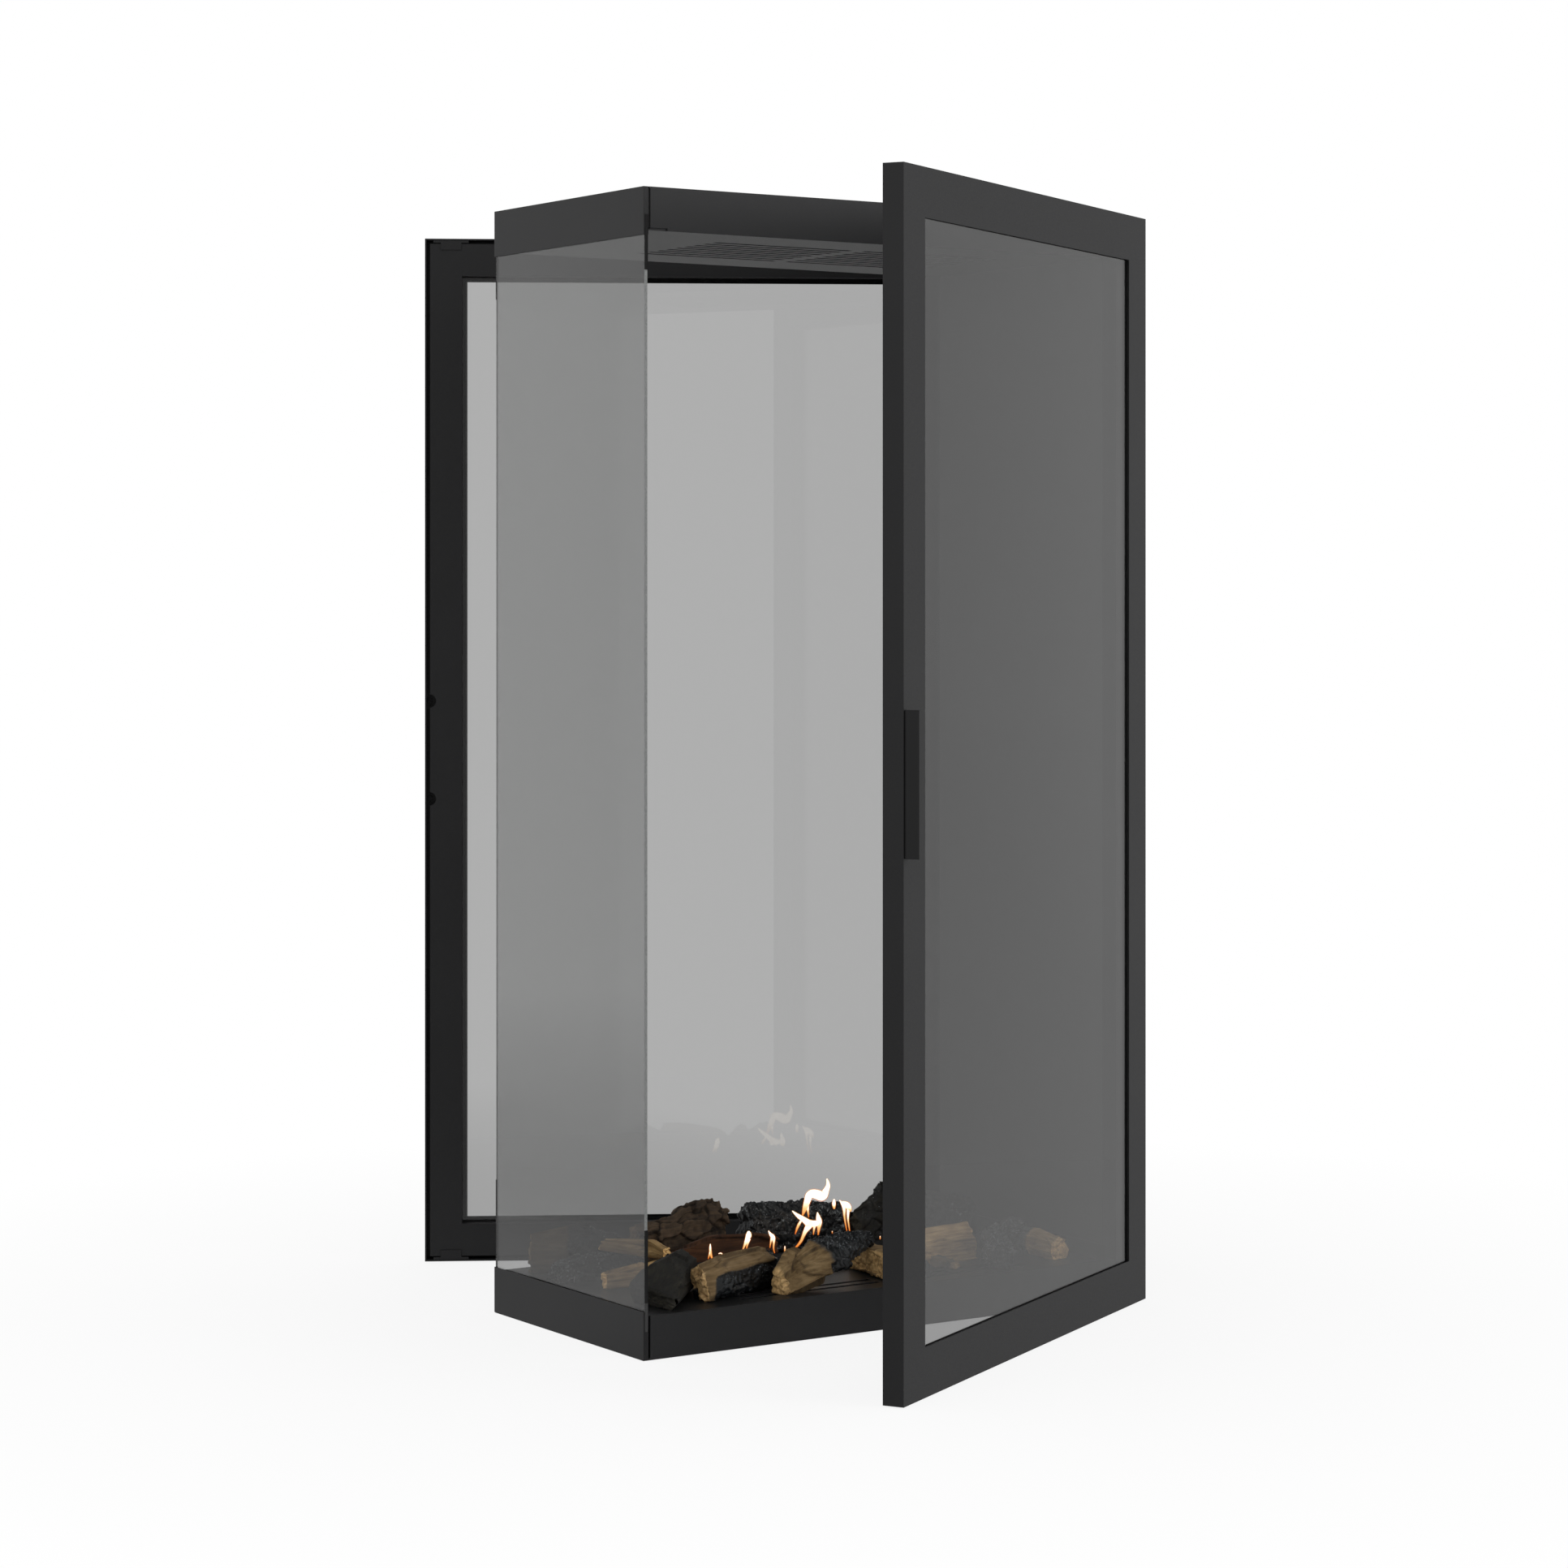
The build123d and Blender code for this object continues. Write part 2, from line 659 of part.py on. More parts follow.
with BuildPart() as ceramic_wool:
    with BuildSketch(Plane.XY.offset(steel + burner_sheet)):
        wool_margin = burner_sheet + wool_gap
        Rectangle(tank_length - 2 * wool_margin, tank_width - 2 * wool_margin)
    extrude(amount=wool_height)
finish(ceramic_wool, "ceramic_wool")

with BuildPart() as burner_cover:
    with BuildSketch(Plane.XY.offset(steel)):
        Rectangle(burner_length, burner_width)
    extrude(amount=burner_top - steel)
    offset(amount=-burner_sheet, openings=burner_cover.faces().sort_by(Axis.Z)[0])
    with BuildSketch(Plane.XY.offset(burner_top)):
        Rectangle(burner_mouth_length, burner_mouth_width)
    extrude(amount=-burner_sheet, mode=Mode.SUBTRACT)
finish(burner_cover, "burner_cover")

# Log outlines, as shares of a log's width and height, seen along the log
split_outline = ((-0.5, 0), (0.5, 0), (0.47, 0.5), (0.12, 1), (-0.38, 0.62))
bark_outline = ((-0.34, 0), (0.34, 0), (0.5, 0.4), (0.34, 0.84), (-0.06, 1), (-0.42, 0.74), (-0.5, 0.34))
slab_outline = ((-0.5, 0), (0.5, 0), (0.5, 0.45), (0.15, 1), (-0.47, 1))


def ceramic_log(name, outline, start, end, width, height, swells, lift=0, trims=()):
    """Log from start to end on the floor, all in log steps, cut back by the trims.

    The swells are pairs of a share of the length and the share of the full size there.
    A lift is how far the underside stands off the floor at the start and at the end.
    A trim is a point and the direction that the waste lies in.
    """
    lift_start, lift_end = lift if lift else (0, 0)
    foot = Vector(*start, lift_start) * log_step + Vector(0, 0, floor_top)
    run = (Vector(*end, lift_end) - Vector(*start, lift_start)) * log_step
    along = Vector(run.X, run.Y, 0).normalized()
    across = along.rotate(Axis.Z, 90)
    rings = []
    for share, size in swells:
        section = Plane(foot + run * share, x_dir=across, z_dir=along)
        spread = size * log_step
        rings.append([section.from_local_coords((spread * width * u, spread * height * v)) for u, v in outline])
    facets = [Face(Wire.make_polygon(rings[0])), Face(Wire.make_polygon(rings[-1]))]
    for near, far in zip(rings, rings[1:]):
        for corner in range(len(outline)):
            quad = (near[corner - 1], near[corner], far[corner], far[corner - 1])
            facets.append(Face(Wire.make_polygon(quad)))
    with BuildPart() as log:
        add(Solid(Shell(facets)))
        for point, waste_side in trims:
            trim_point = Vector(*point) * log_step + Vector(0, 0, floor_top)
            split(bisect_by=Plane(trim_point, z_dir=waste_side), keep=Keep.BOTTOM)
    finish(log, name)


ceramic_log(
    "log_01_front_left_char",
    bark_outline,
    start=(-33.1, -14.7),
    end=(-22.9, -5.5),
    width=5.0,
    height=5.0,
    swells=((0, 1.25), (0.5, 1), (1, 0.7)),
    trims=(((-30.9, 0, 0), (-1, 0, 0)), ((-30.9, -13, 3), (-0.35, 0, 1))),
)
ceramic_log(
    "log_02_front_half_char",
    bark_outline,
    start=(-26.0, -13.3),
    end=(-11.8, -7.8),
    width=4.6,
    height=4.8,
    swells=((0, 0.86), (0.35, 1), (0.8, 0.98), (1, 0.78)),
    trims=(((-23.4, -12, 0), (-1, 0, -0.2)),),
)
ceramic_log(
    "log_03_front_leaning",
    split_outline,
    start=(-15, -14.6),
    end=(1.0, -9.8),
    width=4.4,
    height=4.4,
    swells=((0, 0.6), (0.1, 0.8), (0.4, 1), (0.75, 0.7), (1, 0.35)),
    lift=(0, 3.8),
)
ceramic_log(
    "log_04_front_slab",
    slab_outline,
    start=(3.6, -5.2),
    end=(3.0, -15.0),
    width=6.6,
    height=3.4,
    swells=((0, 0.74), (0.5, 1), (1, 0.96)),
)
ceramic_log(
    "log_05_rear_left_bark",
    bark_outline,
    start=(-19.4, 11.3),
    end=(-7.8, 10.1),
    width=4.9,
    height=7.2,
    swells=((0, 0.76), (0.35, 0.84), (0.75, 1), (1, 0.96)),
)
ceramic_log(
    "log_06_rear_middle_char",
    bark_outline,
    start=(-4.2, 10.1),
    end=(10.6, 10.2),
    width=4.6,
    height=6.1,
    swells=((0, 0.84), (0.3, 1), (0.7, 0.98), (1, 0.86)),
)
ceramic_log(
    "log_07_middle_board",
    slab_outline,
    start=(-17.2, 5.9),
    end=(-2.8, 5.9),
    width=2.6,
    height=3.6,
    swells=((0, 0.66), (0.35, 1), (0.8, 0.94), (1, 0.74)),
)
ceramic_log(
    "log_08_rear_right_char",
    split_outline,
    start=(11.6, 8.8),
    end=(29.8, 9.0),
    width=5.8,
    height=7.4,
    swells=((0, 0.55), (0.24, 1), (0.55, 0.86), (1, 0.62)),
)
ceramic_log(
    "log_09_front_split",
    split_outline,
    start=(8.6, -6.2),
    end=(17.9, -6.6),
    width=4.0,
    height=4.5,
    swells=((0, 0.86), (0.4, 0.94), (1, 1)),
)
ceramic_log(
    "log_10_front_right_char",
    bark_outline,
    start=(16.0, -16.0),
    end=(19.4, -9.8),
    width=4.0,
    height=4.8,
    swells=((0, 0.72), (0.4, 0.95), (1, 1)),
)
ceramic_log(
    "log_11_front_right_light",
    bark_outline,
    start=(26.4, -7.2),
    end=(26.3, -14.1),
    width=3.4,
    height=3.4,
    swells=((0, 0.9), (0.4, 1), (1, 0.84)),
)
ceramic_log(
    "log_12_rear_left_half_char",
    split_outline,
    start=(-31.8, 15.0),
    end=(-20.8, 8.8),
    width=3.8,
    height=5.8,
    swells=((0, 0.78), (0.45, 1), (1, 0.62)),
)
ceramic_log(
    "log_13_left_char",
    slab_outline,
    start=(-33.2, 7.0),
    end=(-25.8, 7.0),
    width=3.8,
    height=3.0,
    swells=((0, 0.74), (0.5, 1), (1, 0.98)),
)
ceramic_log(
    "log_14_left_stick",
    slab_outline,
    start=(-25.9, 7.9),
    end=(-22.5, -1.2),
    width=1.7,
    height=2.2,
    swells=((0, 0.6), (0.5, 0.75), (1, 1)),
    lift=(3.03, 3.03),
)
ceramic_log(
    "log_15_left_floor_stick",
    slab_outline,
    start=(-30.3, 0),
    end=(-22.2, -0.3),
    width=2.0,
    height=3.0,
    swells=((0, 0.6), (0.5, 0.78), (1, 1)),
)
ceramic_log(
    "log_16_front_chip",
    slab_outline,
    start=(11.2, -9.0),
    end=(11.6, -12.4),
    width=2.4,
    height=1.4,
    swells=((0, 1), (1, 0.8)),
)
ceramic_log(
    "log_17_right_char_block",
    bark_outline,
    start=(26.4, -2.4),
    end=(26.8, -6.2),
    width=3.2,
    height=4.2,
    swells=((0, 0.8), (0.5, 1), (1, 0.9)),
)
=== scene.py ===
# %% [markdown]
# # A double-sided ethanol fireplace
# The real object is a tall case of folded steel sheet, powder-coated in anthracite. It is glazed
# on three sides: a fixed pane at the left end and a framed door at the front and at the rear.
# Both doors hang on the right and stand part open. Inside lie ceramic logs round a burner.
#
# The construction comes in as a fixed frame, in metres. This file adds what the eye sees:
# finishes, rounded folds, the broken and charred skin of the logs, and the flames.

# %% Load the frame
import json
import math
from functools import partial

import bmesh
import bpy
import numpy as np
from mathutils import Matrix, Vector, noise

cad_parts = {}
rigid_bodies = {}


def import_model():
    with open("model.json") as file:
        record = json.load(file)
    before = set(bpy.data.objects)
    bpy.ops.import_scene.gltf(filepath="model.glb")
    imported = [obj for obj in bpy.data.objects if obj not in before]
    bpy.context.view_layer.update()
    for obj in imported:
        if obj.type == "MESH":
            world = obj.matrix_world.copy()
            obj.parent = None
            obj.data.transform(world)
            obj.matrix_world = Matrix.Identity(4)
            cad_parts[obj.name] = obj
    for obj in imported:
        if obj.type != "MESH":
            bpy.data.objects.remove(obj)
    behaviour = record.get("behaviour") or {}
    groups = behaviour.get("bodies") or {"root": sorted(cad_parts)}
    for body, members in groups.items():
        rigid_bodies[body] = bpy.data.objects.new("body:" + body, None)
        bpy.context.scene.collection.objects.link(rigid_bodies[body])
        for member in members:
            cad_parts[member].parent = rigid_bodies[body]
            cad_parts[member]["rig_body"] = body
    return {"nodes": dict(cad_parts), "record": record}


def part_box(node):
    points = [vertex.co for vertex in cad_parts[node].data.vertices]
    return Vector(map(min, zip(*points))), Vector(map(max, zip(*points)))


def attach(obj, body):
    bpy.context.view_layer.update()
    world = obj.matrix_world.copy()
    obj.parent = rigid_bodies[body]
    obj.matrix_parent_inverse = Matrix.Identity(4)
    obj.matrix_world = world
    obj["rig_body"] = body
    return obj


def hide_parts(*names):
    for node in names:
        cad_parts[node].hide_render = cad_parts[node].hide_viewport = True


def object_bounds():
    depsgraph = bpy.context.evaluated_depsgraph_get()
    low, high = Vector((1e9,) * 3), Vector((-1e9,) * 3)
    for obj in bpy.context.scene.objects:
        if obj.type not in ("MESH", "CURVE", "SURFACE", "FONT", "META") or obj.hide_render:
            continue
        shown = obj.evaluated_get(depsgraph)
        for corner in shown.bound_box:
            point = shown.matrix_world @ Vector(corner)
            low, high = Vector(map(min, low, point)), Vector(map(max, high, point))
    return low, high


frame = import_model()
nodes = frame["nodes"]
cad_low, cad_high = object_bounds()
print("CAD box", [round(c, 3) for c in cad_low], [round(c, 3) for c in cad_high])

# %% [markdown]
# ## Small helpers
# Every finish below is a node tree. One helper turns a hex colour, as a designer would note it,
# to the linear light that the renderer works in. Another adds a node with its settings and
# links, so that a tree reads from top to bottom like a recipe. A new material comes with that
# helper already tied to its tree, under the short name add.

# %% Colour, nodes and materials
MM = 0.001


def linear(hex_code):
    """Hex sRGB colour as linear red, green, blue and alpha."""
    channels = [int(hex_code[i : i + 2], 16) / 255 for i in (1, 3, 5)]
    return [c / 12.92 if c <= 0.04045 else ((c + 0.055) / 1.055) ** 2.4 for c in channels] + [1.0]


def add_node(tree, kind, sockets=None, stops=(), **settings):
    """Add a node. sockets maps an input's name or number to a value or to another node's output.

    stops are the places and hex colours of a colour ramp.
    """
    made = tree.nodes.new(kind)
    for key, value in settings.items():
        setattr(made, key, value)
    for key, value in (sockets or {}).items():
        if isinstance(value, bpy.types.NodeSocket):
            tree.links.new(value, made.inputs[key])
        else:
            made.inputs[key].default_value = value
    if stops:
        colours = made.color_ramp.elements
        while len(colours) < len(stops):
            colours.new(0.5)
        for colour, (place, hex_code) in zip(colours, stops):
            colour.position = place
            colour.color = linear(hex_code)
    return made


def new_material(name):
    """Empty material, and the function that adds nodes to its tree."""
    material = bpy.data.materials.new(name)
    material.use_nodes = True
    material.node_tree.nodes.clear()
    return material, partial(add_node, material.node_tree)


print("black and white", linear("#000000"), linear("#ffffff"))

# %% [markdown]
# Shapes and finishes both need a soft step from 0 to 1, and each mesh or lamp that is made here
# needs an object in the scene.

# %% Soft step and new object
def smooth(low, high, value):
    """0 below low, 1 above high, with a soft step between."""
    t = np.clip((value - low) / (high - low), 0, 1)
    return t * t * (3 - 2 * t)


def new_object(name, data):
    """Object that shows a mesh, a curve, a lamp or a camera, at the origin of the scene."""
    made = bpy.data.objects.new(name, data)
    bpy.context.scene.collection.objects.link(made)
    return made


print("half way up a soft step", float(smooth(0, 1, 0.5)))

# %% [markdown]
# ## One recipe for plain surfaces
# Coat, metal, rubber and felt look different, but they are drawn in the same way. A pattern on
# the piece's own coordinates picks between two close colours, makes the gloss uneven and lifts
# a fine relief. Only the pattern and the numbers change, so one function holds the rest.

# %% Plain surface
FINE_RELIEF = 0.3 * MM


def plain_surface(name, pattern, colours, places, roughness, uneven=0.0, relief=0.0, sockets=None):
    """Material whose pattern, a function, gives one value for the colours and one for the grain.

    places are the values at which the two colours lie.
    """
    material, add = new_material(name)
    tone, grain = pattern(add, add("ShaderNodeTexCoord").outputs["Object"])
    tint = add("ShaderNodeValToRGB", {"Fac": tone}, list(zip(places, colours)))
    sockets = {"Base Color": tint.outputs["Color"], "Roughness": roughness, **(sockets or {})}
    if uneven:
        limits = {1: 0.3, 2: 0.7, 3: roughness - uneven, 4: roughness + uneven}
        sockets["Roughness"] = add("ShaderNodeMapRange", {"Value": grain, **limits}).outputs[0]
    if relief:
        lift = {"Strength": relief, "Distance": FINE_RELIEF, "Height": grain}
        sockets["Normal"] = add("ShaderNodeBump", lift).outputs[0]
    shader = add("ShaderNodeBsdfPrincipled", sockets)
    add("ShaderNodeOutputMaterial", {"Surface": shader.outputs[0]})
    return material


print("relief of plain surfaces", FINE_RELIEF, "m")

# %% [markdown]
# ## Powder coat
# The sheet steel is sprayed with polyester powder and baked. That gives a dark, even grey with
# a fine orange-peel grain that breaks up reflections, so the coat looks satin, never wet. The
# grain is drawn at 1.2 mm, coarse enough to show at this distance. A second, much larger noise
# stands for the slight unevenness of a sprayed coat.

# %% Powder coat
ORANGE_PEEL = 1.2 * MM
SPRAY_DRIFT = 160 * MM


def powder_coat(name, colours, roughness, peel=ORANGE_PEEL, relief=0.18):
    """Baked powder coat: dull IOR 1.5 polyester film over steel, so it isn't metallic."""

    def sprayed(add, where):
        fine = add("ShaderNodeTexNoise", {"Vector": where, "Scale": 1 / peel, "Detail": 2.0})
        slow = add("ShaderNodeTexNoise", {"Vector": where, "Scale": 1 / SPRAY_DRIFT, "Detail": 3.0})
        both = {0: 0.35, 2: fine.outputs["Fac"], 3: slow.outputs["Fac"]}
        return add("ShaderNodeMix", both, data_type="FLOAT").outputs[0], fine.outputs["Fac"]

    film = {"Metallic": 0.0, "IOR": 1.5, "Specular IOR Level": 0.24}
    return plain_surface(name, sprayed, colours, (0.32, 0.68), roughness, 0.06, relief, film)


print("orange peel drawn at", ORANGE_PEEL, "m")

# %% [markdown]
# One recipe serves every coated piece. Colour and gloss differ a little from piece to piece: the
# bands of the two pans and the ceiling grille get a lighter copy of the case's coat, which is
# painted light, and the doors a darker copy, which is painted shade. The firebox plates are
# smoother, and the handles are satin black.

# %% Powder-coated finishes
case_coat = powder_coat("case_powder_coat", ("#161617", "#1f1f20"), 0.5)
# painted shade: the doors get a darker copy of the case's coat
shaded_door_coat = powder_coat("door_coat_painted_shade", ("#141415", "#1d1d1e"), 0.5)
# painted light: the bands of the pans get a lighter copy of the case's coat
lit_band_coat = powder_coat("band_coat_painted_light", ("#1d1d1e", "#262627"), 0.5)
firebox_coat = powder_coat("firebox_powder_coat", ("#1a1a1b", "#242425"), 0.38, relief=0.12)
# painted light: the ceiling grille gets a lighter copy of the case's coat
lit_grille_coat = powder_coat("grille_coat_painted_light", ("#242425", "#2e2e2f"), 0.42, relief=0.1)
handle_coat = powder_coat("handle_satin_coat", ("#0b0b0c", "#111112"), 0.45, 0.9 * MM, 0.08)
burner_coat = powder_coat("burner_heatproof_black", ("#171717", "#202020"), 0.7, 1.6 * MM)
strip_coat = powder_coat("foot_strip_grey_coat", ("#3a3a3a", "#444444"), 0.6)
print("powder coats", [m.name for m in bpy.data.materials])

# %% [markdown]
# ## Glass
# Each pane is 4 mm toughened glass with a grey tint: it lets through about two fifths of the
# light, and mirrors more of the room the flatter one looks across it. Principled transmission
# does both, with the tint on the pane's two faces. A path tracer stops light at refractive
# glass, which would leave the firebox black, so shadow rays meet a clear tint instead.

# %% Tinted glass
PANE_TINT = (0.42, 0.422, 0.42, 1.0)
SHADOW_TINT = (0.68, 0.68, 0.68, 1.0)


def tinted_glass(name):
    """Grey float glass: typical IOR 1.52, taken to 1.45 to match the reflections, perfectly smooth."""
    material, add = new_material(name)
    pane = add(
        "ShaderNodeBsdfPrincipled",
        {"Base Color": PANE_TINT, "Roughness": 0.0, "IOR": 1.45, "Transmission Weight": 1.0},
    )
    clear = add("ShaderNodeBsdfTransparent", {"Color": SHADOW_TINT})
    shadow = add("ShaderNodeLightPath").outputs["Is Shadow Ray"]
    either = add("ShaderNodeMixShader", {0: shadow, 1: pane.outputs[0], 2: clear.outputs[0]})
    add("ShaderNodeOutputMaterial", {"Surface": either.outputs[0]})
    return material


pane_glass = tinted_glass("grey_tinted_glass")
print("glass lets through", PANE_TINT[0])

# %% [markdown]
# The long edges of the fixed pane are bare. They are ground with a fine stone, which leaves
# them frosted: they scatter light and look pale grey beside the clear faces. The marks of the
# stone are too fine to show from here, so they are drawn coarser, at 1.5 mm.

# %% Ground glass edge
STONE_MARKS = 1.5 * MM


def ground(add, where):
    """Pattern of the grinding stone's marks."""
    marks = add("ShaderNodeTexNoise", {"Vector": where, "Scale": 1 / STONE_MARKS, "Detail": 2.0})
    return marks.outputs["Fac"], marks.outputs["Fac"]


# a pale, rough scatterer of IOR 1.5
frosted = plain_surface(
    "ground_glass_edge", ground, ("#7b7d7c", "#949695"), (0.3, 0.7), 0.6, sockets={"IOR": 1.5}
)
print("edge finish", frosted.name)

# %% [markdown]
# ## Small hardware
# Zinc-plated steel is cool grey and a little blotchy. Brushed stainless shows fine lines in one
# direction. The magnets are nickel-plated. Metals keep the default IOR: their colour and
# roughness say everything. One noise does for all of them, and stretching it makes it brushed.

# %% Plated and brushed metal
def plated_metal(name, colours, roughness, stretch=(1, 1, 1), size=3.0):
    """Metal whose brushing or blotches come from one noise, stretched along the brushing."""

    def brushed(add, where):
        laid = add("ShaderNodeMapping", {"Vector": where, "Scale": stretch}).outputs[0]
        marks = add("ShaderNodeTexNoise", {"Vector": laid, "Scale": 1 / (size * MM), "Detail": 4.0})
        return marks.outputs["Fac"], marks.outputs["Fac"]

    return plain_surface(name, brushed, colours, (0.35, 0.65), roughness, 0.08, sockets={"Metallic": 1.0})


zinc = plated_metal("zinc_plated_steel", ("#a7a8ab", "#c3c4c6"), 0.35)
nickel = plated_metal("nickel_plated_magnet", ("#b3afa8", "#c6c2bb"), 0.25)
blackened = plated_metal("blackened_zinc_screws", ("#1a1a1b", "#2a2a2b"), 0.45)
stainless = plated_metal("brushed_stainless", ("#9b9b99", "#b6b6b4"), 0.35, stretch=(0.04, 1, 1), size=0.8)
print("metals", [metal.name for metal in (zinc, nickel, blackened, stainless)])

# %% [markdown]
# Silicone and the woven glass-fibre tape are matt and nearly black, and ceramic wool is a soft
# white felt. Cast silicone only has faint blotches, from a noise. Threads and felt stand up in
# small heaps, which Voronoi cells of about the thread spacing give.

# %% Silicone, tape and wool
def matt_fibre(name, colours, roughness, pitch, relief=0.5, rubber=False):
    """Matt surface with a fine relief: silicone (IOR 1.4), woven glass tape or ceramic felt (1.5)."""

    def woven(add, where):
        kind, value = ("ShaderNodeTexNoise", "Fac") if rubber else ("ShaderNodeTexVoronoi", "Distance")
        height = add(kind, {"Vector": where, "Scale": 1 / (pitch * MM)}).outputs[value]
        return height, height

    ior = {"IOR": 1.4 if rubber else 1.5}
    return plain_surface(name, woven, colours, (0.2, 0.8), roughness, 0.0, relief, ior)


silicone = matt_fibre("black_silicone", ("#040404", "#0a0a0a"), 0.75, 1.5, relief=0.15, rubber=True)
tape = matt_fibre("woven_glass_tape", ("#0d0d0d", "#262626"), 0.9, 1.2)
felt = matt_fibre("ceramic_wool_felt", ("#b9b5ab", "#e6e2d8"), 0.95, 2.0)
print("soft finishes", [soft.name for soft in (silicone, tape, felt)])

# %% [markdown]
# ## Finishes on the construction
# Each node of the frame already has its exact shape, so most of them only need their finish.
# The record names a material slot for every node. A few pieces of the coated sheet and the
# handles' screws then get the finish of their own that the cells above gave a name.

# %% Finish of each slot and of special pieces
FINISHES = {
    "powder_coat": case_coat,
    "clear_glass": pane_glass,
    "gasket_tape": tape,
    "black_rubber": silicone,
    "grey_strip": strip_coat,
    "zinc_steel": zinc,
    "magnet": nickel,
    "stainless_burner": stainless,
    "black_burner": burner_coat,
    "ceramic_wool": felt,
}
# the band and grille coats are lighter copies of the case's coat, which is painted light
SPECIAL_COATS = {
    "floor_plate": firebox_coat,
    "side_liner": firebox_coat,
    "base_pan": lit_band_coat,
    "head_pan": lit_band_coat,
    "ceiling_grille": lit_grille_coat,
}


def finish_of(name, slot):
    """The finish of a node."""
    if name.endswith("_handle"):
        return handle_coat
    # the doors' darker coat is painted shade
    if "_door_" in name and slot == "powder_coat":
        return shaded_door_coat
    if name.endswith("_handle_screws"):
        return blackened
    return SPECIAL_COATS.get(name, FINISHES[slot])


print("slots", len(FINISHES), "special coats", len(SPECIAL_COATS))

# %% Assign the finishes
slot_of = {part["node"]: part["material_slot"] for part in frame["record"]["subparts"]}
dressed = [name for name, slot in slot_of.items() if slot in FINISHES]
for name in dressed:
    node = nodes[name]
    if not node.material_slots:
        node.data.materials.append(None)
    for material_slot in node.material_slots:
        material_slot.material = finish_of(name, slot_of[name])
print("dressed", len(dressed), "of", len(slot_of))

# %% [markdown]
# ## Rounded folds
# A folded sheet never has a knife edge. Its bends are round, and the coat lays a small bead on
# the cut edges, and both catch a thin line of light. The CAD meshes are left as they are. A
# merged copy of each big sheet piece gets a Bevel of half a millimetre and stands in for it.
# The next three helpers copy a node, make modifiers final, and put a piece in a node's place.

# %% Copies that stand in for a node
SAME_PLACE = 0.002 * MM  # corners closer than this are one corner


def merged_copy(node_name, copy_name):
    """A copy of a node's mesh with its loose triangles joined, as a new object."""
    form = bmesh.new()
    form.from_mesh(nodes[node_name].data)
    bmesh.ops.remove_doubles(form, verts=form.verts, dist=SAME_PLACE)
    mesh = bpy.data.meshes.new(copy_name)
    form.to_mesh(mesh)
    form.free()
    return new_object(copy_name, mesh)


def bake(piece):
    """Turn a piece with its modifiers into a plain mesh."""
    depsgraph = bpy.context.evaluated_depsgraph_get()
    mesh = bpy.data.meshes.new_from_object(piece.evaluated_get(depsgraph))
    piece.modifiers.clear()
    piece.data = mesh
    return piece


def stand_in(piece, node_name, finish):
    """Give a piece its finish and let it replace a node and ride on that node's body."""
    piece.data.materials.clear()
    piece.data.materials.append(finish)
    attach(piece, nodes[node_name]["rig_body"])
    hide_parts(node_name)

print("corners join within", SAME_PLACE, "m")

# %% [markdown]
# The fixed pane is replaced in the same way, so that its narrow faces can be ground glass. Its
# broad faces look along X, so a face is narrow when its normal doesn't.

# %% Fixed pane with ground edges
def edged_pane(node_name):
    """Replace a pane by a copy whose narrow faces are ground."""
    pane = merged_copy(node_name, node_name + "_edged")
    stand_in(pane, node_name, pane_glass)
    pane.data.materials.append(frosted)
    for face in pane.data.polygons:
        face.material_index = int(abs(face.normal.x) < 0.5)
    return pane

pane = edged_pane("end_glass")
print("ground faces", sum(face.material_index for face in pane.data.polygons))

# %% [markdown]
# Where the head channel meets the head band, a 2.5 mm seam stays open. A strip of black tape
# behind it, front and rear, keeps daylight from showing through. It is too plain for more than
# a box.

# %% Tape behind the upper seams
TAPE_WIDTH, TAPE_THICKNESS = 5.0, 0.5  # millimetres, as are the next three
TAPE_SHORTER = 6  # than the head pan is tall
FROM_END = 1.2  # from the end of the head pan to the middle of the tape
BEHIND_BAND = 1.9  # from the band's outer face to the middle of the tape


def seam_tape(side):
    """Strip of woven tape behind the seam of the head channel and the head band, front or rear."""
    low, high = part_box("head_pan")
    reach = (high.y - low.y) / 2 - BEHIND_BAND * MM
    size = Vector((TAPE_WIDTH, TAPE_THICKNESS, 1000 * (high.z - low.z) - TAPE_SHORTER)) * MM
    place = Vector((low.x + FROM_END * MM, side * reach, (low.z + high.z) / 2))
    form = bmesh.new()
    bmesh.ops.create_cube(form, size=1)
    for vertex in form.verts:
        vertex.co = Vector(a * b for a, b in zip(vertex.co, size)) + place
    mesh = bpy.data.meshes.new("seam_tape")
    form.to_mesh(mesh)
    form.free()
    mesh.materials.append(tape)
    strip = new_object("seam_tape_front" if side < 0 else "seam_tape_rear", mesh)
    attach(strip, "root")
    return strip


for side in (-1, 1):
    print("made", seam_tape(side).name)

# %% [markdown]
# Each sheet piece is first freed of the lines that the triangles left across its flats, so that
# the Bevel meets real folds and edges only. It works on angles over 40 degrees, which leaves
# round bends and holes alone.

# %% Round the edges of the sheet pieces
EDGE_BEAD = 0.5 * MM
FLAT_WITHIN = math.radians(1)
FOLD_FROM = math.radians(40)


def rounded_sheet(node_name):
    """Replace a sheet piece by a copy with beaded edges."""
    finish = nodes[node_name].material_slots[0].material
    piece = merged_copy(node_name, node_name + "_rounded")
    form = bmesh.new()
    form.from_mesh(piece.data)
    bmesh.ops.dissolve_limit(
        form, angle_limit=FLAT_WITHIN, verts=form.verts, edges=form.edges, delimit={"NORMAL"}
    )
    for face in form.faces:
        face.smooth = False
    form.to_mesh(piece.data)
    form.free()
    bevel = piece.modifiers.new("bead", "BEVEL")
    bevel.width = EDGE_BEAD
    bevel.segments = 2
    bevel.limit_method = "ANGLE"
    bevel.angle_limit = FOLD_FROM
    bake(piece)
    stand_in(piece, node_name, finish)
    return piece


